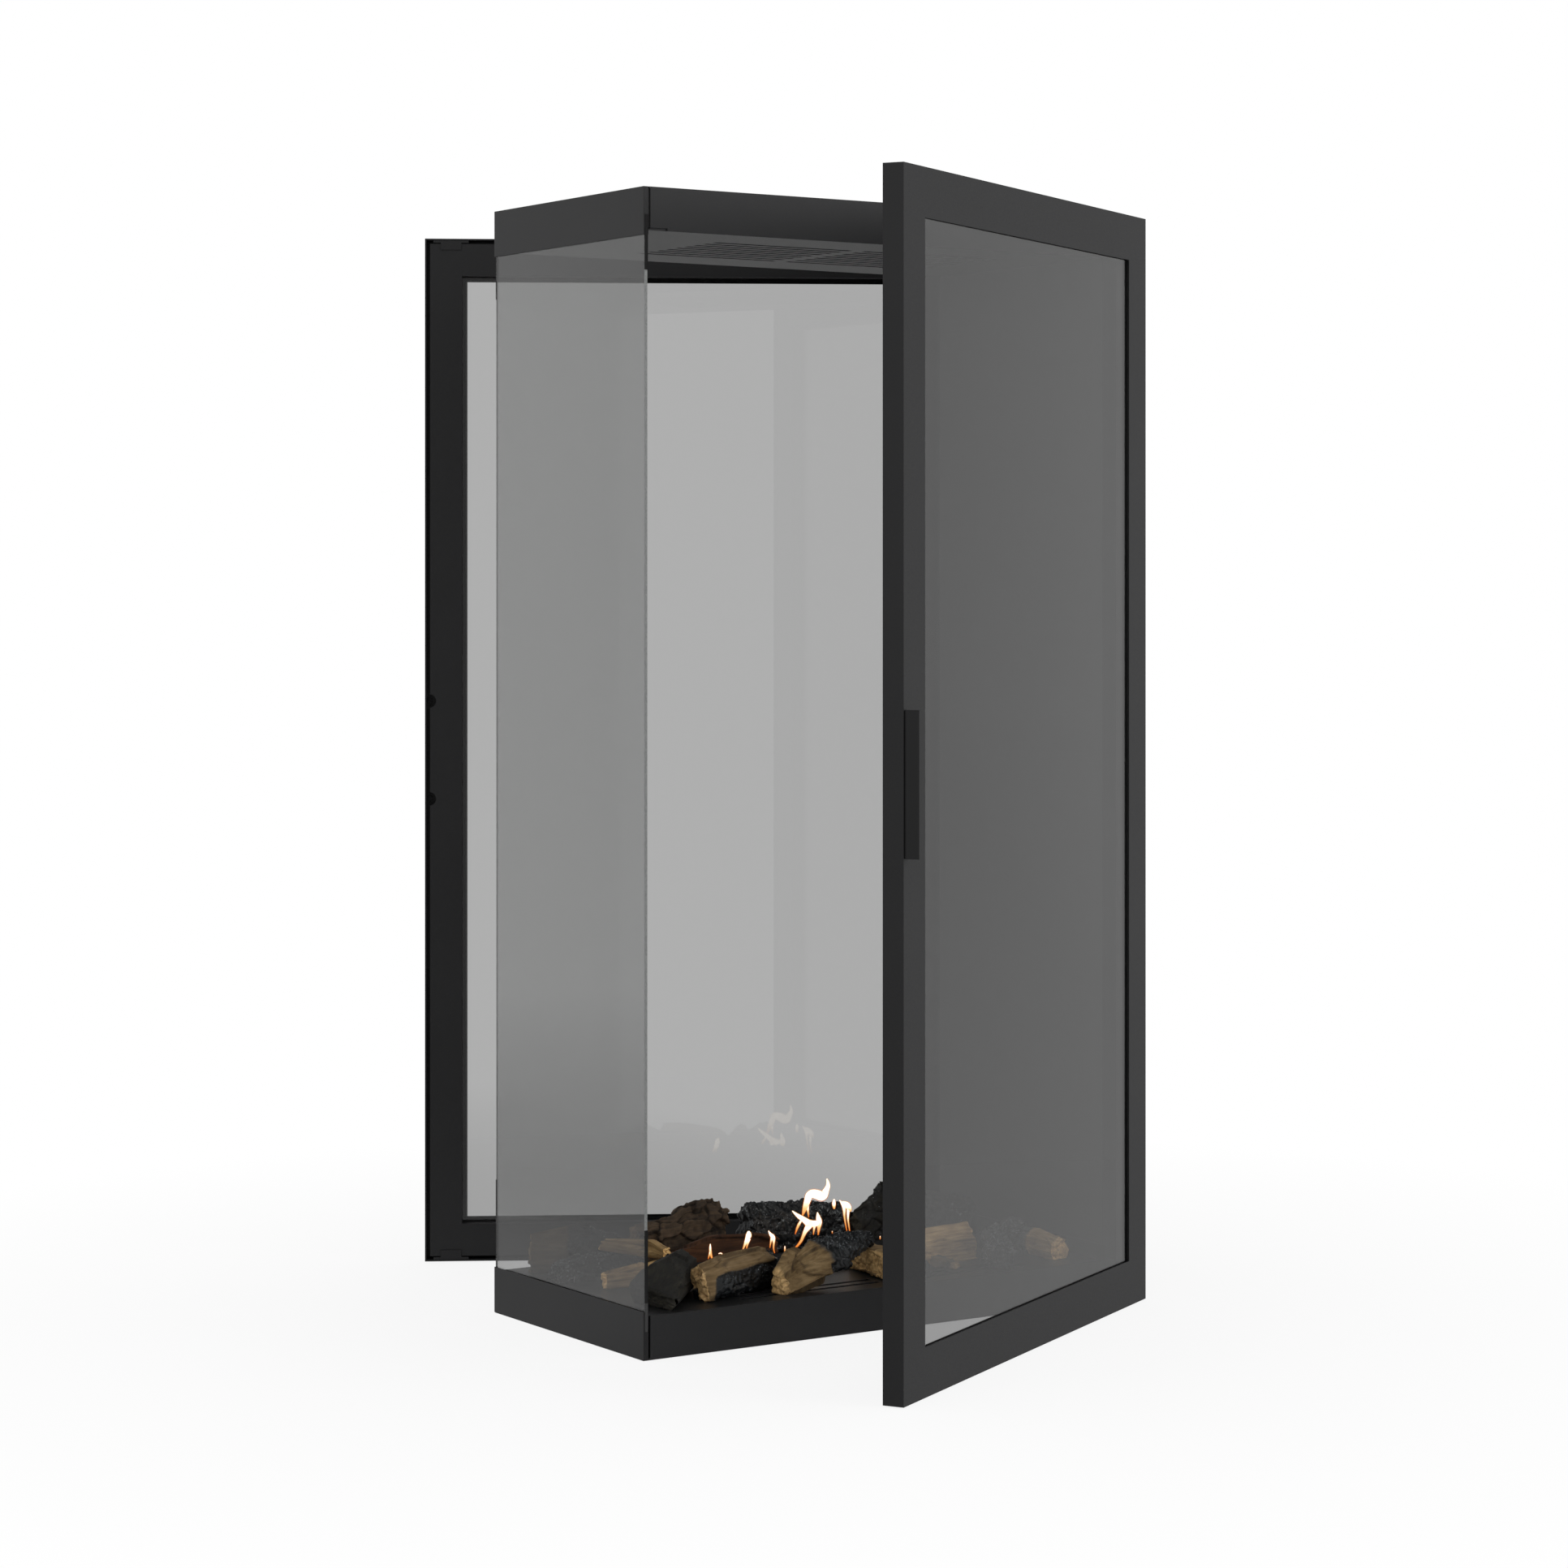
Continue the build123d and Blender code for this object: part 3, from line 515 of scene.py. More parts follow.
SHEETS = ["left_base_channel", "left_head_channel", "side_casing", "side_liner", "base_pan", "head_pan"]
for door in ("front_door", "rear_door"):
    SHEETS += [f"{door}_frame", f"{door}_handle", f"{door}_retaining_frame", f"{door}_t_plates"]
for sheet in SHEETS:
    made = rounded_sheet(sheet)
    print(sheet, len(made.data.polygons), "faces")

# %% [markdown]
# ## Ceramic logs
# The logs are cast in refractory ceramic from moulds of real wood, then painted: pale split
# wood with grain, brown bark plates, and charcoal with ash in its cracks. The frame gives each
# one's main form. A voxel remesh turns that form into an even skin, a little smoothing rounds
# its edges, and then every point moves in or out along its normal. Sculpting by hand would do
# too, but a rule gives the same skin on every run.

# %% An even skin
SKIN = 1.4 * MM


def even_skin(node_name):
    """Voxel remesh and light smoothing of a log's form."""
    piece = merged_copy(node_name, node_name + "_skin")
    remesh = piece.modifiers.new("skin", "REMESH")
    remesh.mode = "VOXEL"
    remesh.voxel_size = SKIN
    remesh.use_smooth_shade = True
    soften = piece.modifiers.new("soften", "SMOOTH")
    soften.factor = 0.5
    soften.iterations = 1
    return bake(piece)


print("skin cells", SKIN, "m")

# %% [markdown]
# Two patterns make all the relief. Gradient noise gives soft swells and fibres. Warped Voronoi
# cells give pieces with edges: every cell has a random vector of its own, so its surface can
# tilt and step against its neighbours, and the way to the next cell tells where a crack runs.
# Sizes and heights are in millimetres, along the log, across it and up. Numbers without a name
# that are under 1 are shares of a cell, or how strongly a mark shows in the paint.

# %% Noise and plates
def noise_field(points, scales, seed):
    """Gradient noise at points, each axis divided by its scale."""
    moved = points / np.array(scales) + seed
    return np.array([noise.noise(Vector(p)) for p in moved])


def plates(points, scales, seed, warp=0.35):
    """Warped cells: each point's offset in its cell, the cell's random vector, the way to a joint."""
    wander = [warp * noise_field(points, np.array(scales) * 0.7, seed + k) for k in (17, 29, 41)]
    moved = points / np.array(scales) + seed + np.stack(wander, 1)
    offsets, chances, joints = [], [], []
    for p in moved:
        distances, centres = noise.voronoi(Vector(p))
        offsets.append(Vector(p) - centres[0])
        chances.append(noise.cell_vector(centres[0]))
        joints.append(distances[1] - distances[0])
    return np.array(offsets), 2 * np.array(chances) - 1, np.array(joints)


way = plates(np.zeros((1, 3)), (10, 10, 10), 1)[2][0]
print("way to a joint", round(float(way), 3), "of a cell")

# %% [markdown]
# Split wood is long splinters, each a plane with a step to the next, with fine fibres on top.
# The splinters are six times as long as they are wide. A slab is wood that split into a few
# broad flats, so it is the same rule with wider and deeper splinters.

# %% Split wood
SPLINTER_RATIO = 6
FIBRES = (60, 2.6, 2.6)
FIBRE_HEIGHT = 0.3


def split_relief(local, seed, width=22, depth=4.0):
    """Height of split wood, and how far out (1) or deep in a groove (-1) each point is."""
    offset, chance, joint = plates(local, (SPLINTER_RATIO * width, width, width), seed + 7)
    fibre = noise_field(local, FIBRES, seed + 8)
    height = depth * (offset * chance).sum(1) + 0.3 * depth * chance[:, 0] + FIBRE_HEIGHT * fibre
    return height, np.clip(0.6 * fibre - 0.5 * smooth(0.05, 0.0, joint), -1, 1)


def slab_relief(local, seed):
    """Wood split into a few broad flats."""
    return split_relief(local, seed, width=42, depth=8.5)


print("splinters", SPLINTER_RATIO * 22, "x 22 mm, slabs", SPLINTER_RATIO * 42, "x 42 mm")

# %% [markdown]
# Bark is ragged plates that overlap like shingles and are thickest at their lower edge, with
# deep cracks between them and small flakes all over.

# %% Bark
BARK_PLATE = (34, 20, 24)
BARK_FLAKE = (4.5, 4.5, 11)
BARK_STEP, BARK_LEAN, FLAKE_HEIGHT, BARK_CRACK = 2.6, 5.0, 1.7, 2.2


def bark_relief(local, seed):
    """Height of bark, and how far out or deep in a crack each point is."""
    offset, chance, joint = plates(local, BARK_PLATE, seed + 7, warp=0.55)
    flake = noise_field(local, BARK_FLAKE, seed + 9)
    edge = smooth(0.1, 0.0, joint)
    height = BARK_STEP * chance[:, 0] - BARK_LEAN * offset[:, 2] + FLAKE_HEIGHT * flake - BARK_CRACK * edge
    return height, np.clip(0.8 * flake - 1.5 * edge, -1, 1)


print("bark plates", BARK_PLATE, "mm")

# %% [markdown]
# Burnt wood breaks into angular lumps, and short cross cracks break those into chips. Pale flecks,
# ash and painted glints in one, lie in the cracks between the chips, in drifts: where a slow noise
# is high, and nowhere else.

# %% Char
CHAR_LUMP = (30, 17, 17)
CHAR_CHIP = (7, 12, 8)
ASH_AND_GLINT_DRIFT = (26, 22, 22)
LUMP_LEAN, LUMP_STEP, CHIP_LEAN, CHIP_CRACK = 4.2, 1.5, 2.3, 0.9


def char_relief(local, seed):
    """Height of burnt wood, and how much ash and painted glint lies at each point."""
    offset, chance, joint = plates(local, CHAR_LUMP, seed + 11, warp=0.45)
    chip_offset, chip_chance, chip_joint = plates(local, CHAR_CHIP, seed + 13)
    height = LUMP_LEAN * (offset * chance).sum(1) + LUMP_STEP * chance[:, 0]
    height += CHIP_LEAN * (chip_offset * chip_chance).sum(1) - CHIP_CRACK * smooth(0.1, 0.0, chip_joint)
    ash_and_glint_here = smooth(-0.15, 0.35, noise_field(local, ASH_AND_GLINT_DRIFT, seed + 15))
    # the second value places the pale flecks: ash and painted glints in one
    return height, np.clip(smooth(0.09, 0.02, chip_joint) * ash_and_glint_here + 0.6 * smooth(0.05, 0.0, joint), -1, 1)


RELIEFS = {"split": split_relief, "slab": slab_relief, "bark": bark_relief}
print("skins", list(RELIEFS), "and char")

# %% [markdown]
# Numbers go between a mesh and numpy as one flat array, which is far quicker than a loop over
# points. Each point of a log keeps four attributes for the paint: grain is where it lies along
# and across the log, char is how burnt it is, relief is how far out or how deep in a groove it
# is on sound wood, where it sets the painted shade, and how much ash and painted glint it
# carries on char, and tone makes each log lighter or darker and lifts its torn ends with painted
# light.

# %% Reading and storing points
def point_vectors(mesh, field):
    """A vector of each point, co or normal, as rows."""
    flat = np.zeros(len(mesh.vertices) * 3, np.float32)
    mesh.vertices.foreach_get(field, flat)
    return flat.reshape(-1, 3)


def store_values(mesh, name, values):
    """Keep one number for each point of a mesh as an attribute."""
    store = mesh.attributes.new(name, "FLOAT", "POINT")
    store.data.foreach_set("value", np.asarray(values, np.float32))


print("points of the wool", len(point_vectors(nodes["ceramic_wool"].data, "co")))

# %% [markdown]
# The carving mixes sound wood and char by the char value, adds slow swells, and tears the end
# faces. Then the log's profile swells or sinks it above its seat, and two logs grow past their
# CAD form as in the photograph. Points never leave the node's box in depth or go below its seat.

# %% Carve the skin
CHAR_BORDER, CHAR_RAGGED = (24, 20, 20), 0.3
CHAR_FROM, CHAR_TO = 0.36, 0.64
END_FROM, END_TO = 0.6, 0.85  # how far a face must look along the log to be a torn end
SWELLS, SWELL_HEIGHT = (40, 28, 28), 1.2
TORN_FIBRES, TORN_DEPTH = (1000, 4.5, 4.5), 3.0
# painted light: torn end faces are painted lighter, to lift them out of their shade
TORN_END_PAINTED_LIGHT = 1.8  # a torn end is lighter by this share


def carve(piece, kind, turn, char_of, tone, profile, seed, box, growth=(0.0, 1.0)):
    """Move the skin's points for one log and store what the paint needs."""
    mesh = piece.data
    points = point_vectors(mesh, "co").astype(float)
    normals = point_vectors(mesh, "normal").astype(float)
    middle = (points.min(0) + points.max(0)) / 2
    along = np.array([math.cos(math.radians(turn)), math.sin(math.radians(turn)), 0])
    across = np.array([-along[1], along[0], 0])
    local = np.stack([(points - middle) @ along, (points - middle) @ across, points[:, 2]], 1) / MM
    span = (local - local.min(0)) / (local.max(0) - local.min(0))
    char = np.clip(char_of(span[:, 0], span[:, 1], span[:, 2]), 0, 1) * np.ones(len(points))
    char = smooth(CHAR_FROM, CHAR_TO, char + CHAR_RAGGED * noise_field(local, CHAR_BORDER, seed))
    swells = SWELL_HEIGHT * noise_field(local, SWELLS, seed + 3)
    end_face = smooth(END_FROM, END_TO, np.abs(normals @ along))
    torn = TORN_DEPTH * noise_field(local, TORN_FIBRES, seed + 5) * end_face
    sound, sound_relief = RELIEFS[kind](local, seed)
    burnt, burnt_relief = char_relief(local, seed)
    move = swells + torn + sound * (1 - char) + burnt * char
    points += normals * move[:, None] * MM
    seat = box[0].z
    points[:, 2] = seat + (points[:, 2] - seat) * profile(span[:, 0])
    points -= along * ((1 - span[:, 0]) * growth[0])[:, None] * MM
    points += across * (local[:, 1] * (growth[1] - 1))[:, None] * MM
    points[:, 1] = np.clip(points[:, 1], box[0].y, box[1].y)
    points[:, 2] = np.maximum(points[:, 2], seat)
    mesh.vertices.foreach_set("co", points.astype(np.float32).ravel())
    grain = mesh.attributes.new("grain", "FLOAT_VECTOR", "POINT")
    grain.data.foreach_set("vector", (local * MM).astype(np.float32).ravel())
    store_values(mesh, "char", char)
    store_values(mesh, "relief", sound_relief * (1 - char) + burnt_relief * char)
    # the stored tone carries the painted light on the torn ends
    store_values(mesh, "tone", tone * (1 + TORN_END_PAINTED_LIGHT * end_face))
    mesh.update()


print("torn ends up to", TORN_DEPTH, "mm deep")

# %% [markdown]
# The paint reads those attributes. Streaks of noise, stretched along the grain, colour the
# wood, and a dark brown is painted into its grooves as shade. Char is nearly black. Pale
# flecks, broken up by a fine noise, lie on it where the relief says so: they are ash and
# painted glints in one. Burnt parts are a little glossy, as real charcoal is.

# %% Paint of the logs
STREAK, PATCH, SPECK = 3.5 * MM, 26 * MM, 2.6 * MM
PAINT_RELIEF = 0.6 * MM


def log_paint(name, wood, groove_shade, ash_and_glint_colour, ash_and_glint_share=0.35, char=("#090a0b", "#181b1d")):
    """Matt painted ceramic: IOR 1.5, very rough, with no sheen."""
    material, add = new_material(name)
    grain = add("ShaderNodeAttribute", attribute_name="grain").outputs["Vector"]
    burnt, relief, tone = (
        add("ShaderNodeAttribute", attribute_name=stored).outputs["Fac"]
        for stored in ("char", "relief", "tone")
    )
    drawn_out = add("ShaderNodeMapping", {"Vector": grain, "Scale": (0.07, 1.0, 1.0)})
    streak = add(
        "ShaderNodeTexNoise",
        {"Vector": drawn_out.outputs[0], "Scale": 1 / STREAK, "Detail": 5.0, "Distortion": 0.5},
    ).outputs["Fac"]
    patch, speck = (
        add(
            "ShaderNodeTexNoise", {"Vector": grain, "Scale": 1 / size, "Detail": detail}
        ).outputs["Fac"]
        for size, detail in ((PATCH, 4.0), (SPECK, 3.0))
    )
    mixed = add("ShaderNodeMix", {0: 0.45, 2: streak, 3: patch}, data_type="FLOAT")
    stops = [(0.34, wood[0]), (0.5, wood[1]), (0.64, wood[2])]
    wood_colour = add("ShaderNodeValToRGB", {"Fac": mixed.outputs[0]}, stops)
    # painted shade: where the relief is low, in grooves and cracks, the wood darkens to the groove colour
    groove_shade_mask = add("ShaderNodeMapRange", {"Value": relief, 1: -0.1, 2: -0.8, 3: 0.0, 4: 0.7})
    groove_shaded = add(
        "ShaderNodeMix",
        {0: groove_shade_mask.outputs[0], 6: wood_colour.outputs["Color"], 7: linear(groove_shade)},
        data_type="RGBA",
    )
    # the tone attribute also carries painted light on the torn ends
    toned = add("ShaderNodeVectorMath", {0: groove_shaded.outputs[2], "Scale": tone}, operation="SCALE")
    stops = [(0.35, char[0]), (0.65, char[1])]
    char_colour = add("ShaderNodeValToRGB", {"Fac": patch}, stops)
    # pale flecks on the char: ash and painted glints in one
    ridge = add("ShaderNodeMapRange", {"Value": relief, 1: 0.1, 2: 0.75, 3: 0.0, 4: ash_and_glint_share})
    fleck = add("ShaderNodeMapRange", {"Value": speck, 1: 0.46, 2: 0.6})
    ash_and_glint_flecks = add("ShaderNodeMath", {0: ridge.outputs[0], 1: fleck.outputs[0]}, operation="MULTIPLY")
    char_with_ash_and_glint = add(
        "ShaderNodeMix",
        {0: ash_and_glint_flecks.outputs[0], 6: char_colour.outputs["Color"], 7: linear(ash_and_glint_colour)},
        data_type="RGBA",
    )
    colour = add("ShaderNodeMix", {0: burnt, 6: toned.outputs[0], 7: char_with_ash_and_glint.outputs[2]}, data_type="RGBA")
    fine = add("ShaderNodeMath", {0: streak, 1: speck}, operation="ADD")
    bump = add("ShaderNodeBump", {"Strength": 0.6, "Distance": PAINT_RELIEF, "Height": fine.outputs[0]})
    gloss = add("ShaderNodeMapRange", {"Value": burnt, 3: 0.88, 4: 0.42})
    shader = add(
        "ShaderNodeBsdfPrincipled",
        {
            "Base Color": colour.outputs[2],
            "Roughness": gloss.outputs[0],
            "IOR": 1.5,
            "Specular IOR Level": 0.5,
            "Normal": bump.outputs[0],
        },
    )
    add("ShaderNodeOutputMaterial", {"Surface": shader.outputs[0]})
    return material


print("streaks", STREAK, "patches", PATCH, "specks", SPECK, "m")

# %% [markdown]
# Every paint has two colours of char, three of wood, a dark brown painted into the grooves as
# shade, and a pale grey for flecks of ash and painted glints. The charcoal logs carry the most
# of those flecks. One rusty brown board in the middle isn't like the others, so it has a paint
# of its own.

# %% Paints
ASH_AND_GLINT = "#9aa2a6"
paints = {
    "log_split_wood": log_paint("painted_split_wood", ("#67502f", "#9a7d52", "#b89a6c"), "#35271a", ASH_AND_GLINT),
    "log_bark": log_paint("painted_bark", ("#3a2e24", "#564533", "#6d5843"), "#150f0a", ASH_AND_GLINT),
    "log_half_charred": log_paint(
        "painted_half_charred", ("#66502f", "#977b53", "#b2956c"), "#332619", ASH_AND_GLINT, 0.22
    ),
    # the charcoal paint carries the most ash and painted glints
    "log_charred": log_paint(
        "painted_charcoal", ("#1b1a16", "#26241e", "#383429"), "#0d0c0a", "#a6abad", 0.7
    ),
}
rusty_board = log_paint("painted_rusty_board", ("#2c1a0e", "#4a2d18", "#5f3c22"), "#140c07", ASH_AND_GLINT)
PAINT_OF = {"log_07_middle_board": rusty_board}
print("paints", list(paints), "and", rusty_board.name)

# %% [markdown]
# Where a log is burnt and how its height runs along it are rules. They take shares of the log's
# own length (s), width (t) and height (h), so they fit any log.

# %% Rules for char and profile
def burnt_front(s, t, h):
    """Charred on its lower front, but for the left tip, and at the right end."""
    return smooth(0.02, 0.16, s) * smooth(0.85, 0.55, h + 0.5 * t) + smooth(0.8, 1.0, s)


def all_over(amount):
    """Rule for a log that is equally charred everywhere."""
    return lambda s, t, h: amount


def beyond(start, end, lean=0.0):
    """Rule for a log that is sound up to start and charred past end, leaning across it."""
    return lambda s, t, h: smooth(start, end, s + lean * t)


PROFILES = {
    "level": lambda s: 1.0,
    "rising": lambda s: 0.5 + 0.9 * s,
    "high_right": lambda s: 0.95 + 0.12 * smooth(0.42, 0.55, s),
    "high_left": lambda s: 1 + 0.15 * smooth(0.45, 0.1, s) + 0.16 * smooth(0.14, 0.02, s),
    "worn_tip": lambda s: 1 - 0.45 * smooth(0.75, 1.0, s),
}
print("height at the left end", {name: round(float(rule(0)), 2) for name, rule in PROFILES.items()})

# %% [markdown]
# Each log has a kind of skin, a way it points in degrees from the front's direction, a rule for
# where it is burnt, a tone and a profile. Two logs at the left front are longer towards the
# left and wider than their CAD form: by how many millimetres and how many times is in GROWTH.

# %% Dress the logs
LOGS = {
    "log_01_front_left_char": ("split", 42, all_over(0.1), 0.7, "rising"),
    "log_02_front_half_char": ("split", 21, burnt_front, 0.68, "level"),
    "log_03_front_leaning": ("slab", 17, beyond(0.36, 0.5, 0.15), 0.6, "level"),
    "log_04_front_slab": ("slab", -28, beyond(0.7, 1.0), 0.6, "level"),
    "log_05_rear_left_bark": ("bark", -6, all_over(0.0), 0.75, "high_right"),
    "log_06_rear_middle_char": ("bark", 0, all_over(1.0), 1.0, "high_left"),
    "log_07_middle_board": ("split", 0, all_over(0.1), 1.0, "level"),
    "log_08_rear_right_char": ("bark", 1, all_over(0.42), 0.8, "level"),
    "log_09_front_split": ("split", -2, all_over(0.0), 1.9, "level"),
    "log_10_front_right_char": ("bark", 61, all_over(1.0), 1.0, "level"),
    "log_11_front_right_light": ("split", -91, beyond(0.45, 0.1), 1.3, "level"),
    "log_12_rear_left_half_char": ("split", -29, beyond(0.25, 0.45), 0.3, "level"),
    "log_13_left_char": ("bark", 0, all_over(1.0), 1.0, "level"),
    "log_14_left_stick": ("split", -70, beyond(0.98, 1.3), 1.2, "worn_tip"),
    "log_15_left_floor_stick": ("split", -2, all_over(0.0), 2.0, "level"),
    "log_16_front_chip": ("split", -83, all_over(0.5), 0.6, "level"),
    "log_17_right_char_block": ("split", -84, all_over(1.0), 1.0, "level"),
}
GROWTH = {"log_02_front_half_char": (18.0, 1.05), "log_01_front_left_char": (8.0, 1.35)}
SEED_STEP = 11.3
dressed_logs = {}
for number, (log_name, (kind, turn, char_of, tone, profile)) in enumerate(LOGS.items()):
    log = even_skin(log_name)
    growth = GROWTH.get(log_name, (0.0, 1.0))
    seed = SEED_STEP * (number + 1)
    carve(log, kind, turn, char_of, tone, PROFILES[profile], seed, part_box(log_name), growth)
    dressed_logs[log_name] = log
    slot = slot_of[log_name]
    stand_in(log, log_name, PAINT_OF.get(log_name, paints[slot]))
    print(log_name, len(log.data.polygons), "faces")

# %% [markdown]
# ## Ash crumbs and wool fibres
# Charred logs shed crumbs of ash, and the ceramic wool in the burner has loose fibres on its
# top. Both are the same job: many small copies, spread over a surface. One Geometry Nodes group
# does it. It spreads points over the faces, thinned out by an attribute named shed, puts a
# turned and scaled copy on each, and makes the copies real. Density, sizes and seed are its
# inputs, so either spread can be changed without a look inside.

# %% Scatter group
def scatter_group(name, small_form, turns, finish):
    """Geometry Nodes group that spreads copies of a small form over a surface."""
    tree = bpy.data.node_groups.new(name, "GeometryNodeTree")
    add = partial(add_node, tree)
    for label, kind in (
        ("Surface", "NodeSocketGeometry"),
        ("Density", "NodeSocketFloat"),
        ("Smallest", "NodeSocketFloat"),
        ("Largest", "NodeSocketFloat"),
        ("Seed", "NodeSocketInt"),
    ):
        tree.interface.new_socket(label, in_out="INPUT", socket_type=kind)
    tree.interface.new_socket("Scattered", in_out="OUTPUT", socket_type="NodeSocketGeometry")
    given = add("NodeGroupInput").outputs
    shed = add("GeometryNodeInputNamedAttribute", {"Name": "shed"}, data_type="FLOAT")
    thick = add("ShaderNodeMath", {0: given["Density"], 1: shed.outputs["Attribute"]}, operation="MULTIPLY")
    points = add(
        "GeometryNodeDistributePointsOnFaces",
        {"Mesh": given["Surface"], "Density": thick.outputs[0], "Seed": given["Seed"]},
    )
    turned = add(
        "FunctionNodeRandomValue",
        {0: turns[0], 1: turns[1], "Seed": given["Seed"]},
        data_type="FLOAT_VECTOR",
    )
    scaled = add(
        "FunctionNodeRandomValue",
        {2: given["Smallest"], 3: given["Largest"], "Seed": given["Seed"]},
        data_type="FLOAT",
    )
    copies = add(
        "GeometryNodeInstanceOnPoints",
        {
            "Points": points.outputs["Points"],
            "Instance": add(*small_form).outputs["Mesh"],
            "Rotation": turned.outputs[0],
            "Scale": scaled.outputs[1],
        },
    )
    real = add("GeometryNodeRealizeInstances", {"Geometry": copies.outputs["Instances"]})
    coated = {"Geometry": real.outputs[0], "Material": finish}
    dressed = add("GeometryNodeSetMaterial", coated)
    add("NodeGroupOutput", {"Scattered": dressed.outputs[0]})
    return tree


FULL_TURN = 6.28
ANY_TURN = ((0.0, 0.0, 0.0), (FULL_TURN, FULL_TURN, FULL_TURN))
LYING = ((1.2, 0.0, 0.0), (1.9, 0.0, FULL_TURN))
crumb_form = ("GeometryNodeMeshIcoSphere", {"Radius": 1.0, "Subdivisions": 1})
fibre_form = ("GeometryNodeMeshCylinder", {"Vertices": 5, "Radius": 0.02, "Depth": 1.0})
ash_dust = matt_fibre("ash_crumbs", ("#5d6164", "#a3a6a8"), 0.95, 1.5)
crumb_group = scatter_group("scatter_crumbs", crumb_form, ANY_TURN, ash_dust)
fibre_group = scatter_group("scatter_fibres", fibre_form, LYING, felt)
print("groups", crumb_group.name, fibre_group.name)

# %% [markdown]
# The group runs on a carrier, a copy of the surface with its shed attribute. Its result is
# made a plain mesh, the results of all carriers are joined, and the carriers go.

# %% Spread over surfaces
def scatter(name, surfaces, group, slot, density, smallest, largest, seed):
    """Spread a group's copies over surfaces and join them into one piece on the root body."""
    socket = {item.name: item.identifier for item in group.interface.items_tree}
    joined = bmesh.new()
    for number, (surface, shed) in enumerate(surfaces):
        mesh = surface.copy()
        store_values(mesh, "shed", shed)
        carrier = new_object(name + "_carrier", mesh)
        spread = carrier.modifiers.new("scatter", "NODES")
        spread.node_group = group
        spread[socket["Density"]] = density
        spread[socket["Smallest"]] = smallest
        spread[socket["Largest"]] = largest
        spread[socket["Seed"]] = seed + number
        bake(carrier)
        joined.from_mesh(carrier.data)
        bpy.data.objects.remove(carrier)
    mesh = bpy.data.meshes.new(name)
    joined.to_mesh(mesh)
    joined.free()
    mesh.materials.append(group.nodes["Set Material"].inputs["Material"].default_value)
    piece = new_object(name, mesh)
    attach(piece, "root")
    return piece


def facing_up(mesh):
    """Each point's normal's upward share."""
    return np.clip(point_vectors(mesh, "normal")[:, 2], 0, 1)


def burnt_share(mesh):
    """Each point's char attribute."""
    flat = np.zeros(len(mesh.vertices), np.float32)
    mesh.attributes["char"].data.foreach_get("value", flat)
    return flat


print("wool faces up", round(float(facing_up(nodes["ceramic_wool"].data).mean()), 3))

# %% [markdown]
# Crumbs lie where a log is burnt and faces up. Densities are copies for each square metre of
# surface, before the shed attribute thins them out.

# %% Ash crumbs and wool fibres
CRUMBS = {"density": 26000.0, "smallest": 0.25 * MM, "largest": 0.8 * MM, "seed": 5}
FIBRES_LAID = {"density": 160000.0, "smallest": 3 * MM, "largest": 7 * MM, "seed": 3}
skins = [log.data for log in dressed_logs.values()]
sheds = [(skin, burnt_share(skin) * facing_up(skin)) for skin in skins]
crumbs = scatter("ash_crumbs", sheds, crumb_group, "log_charred", **CRUMBS)
wool = nodes["ceramic_wool"].data
fibres = scatter("wool_fibres", [(wool, facing_up(wool) ** 4)], fibre_group, "ceramic_wool", **FIBRES_LAID)
print("crumbs", len(crumbs.data.polygons), "faces, fibres", len(fibres.data.polygons), "faces")

# %% [markdown]
# ## Flames
# Ethanol burns with a soft flame whose foot is orange and whose head glows almost white. Each
# flame is a closed tongue: a curve with a round bevel whose radius swells and dies away. The
# lines below follow the photograph's flames, all in one plane over the burner's mouth.

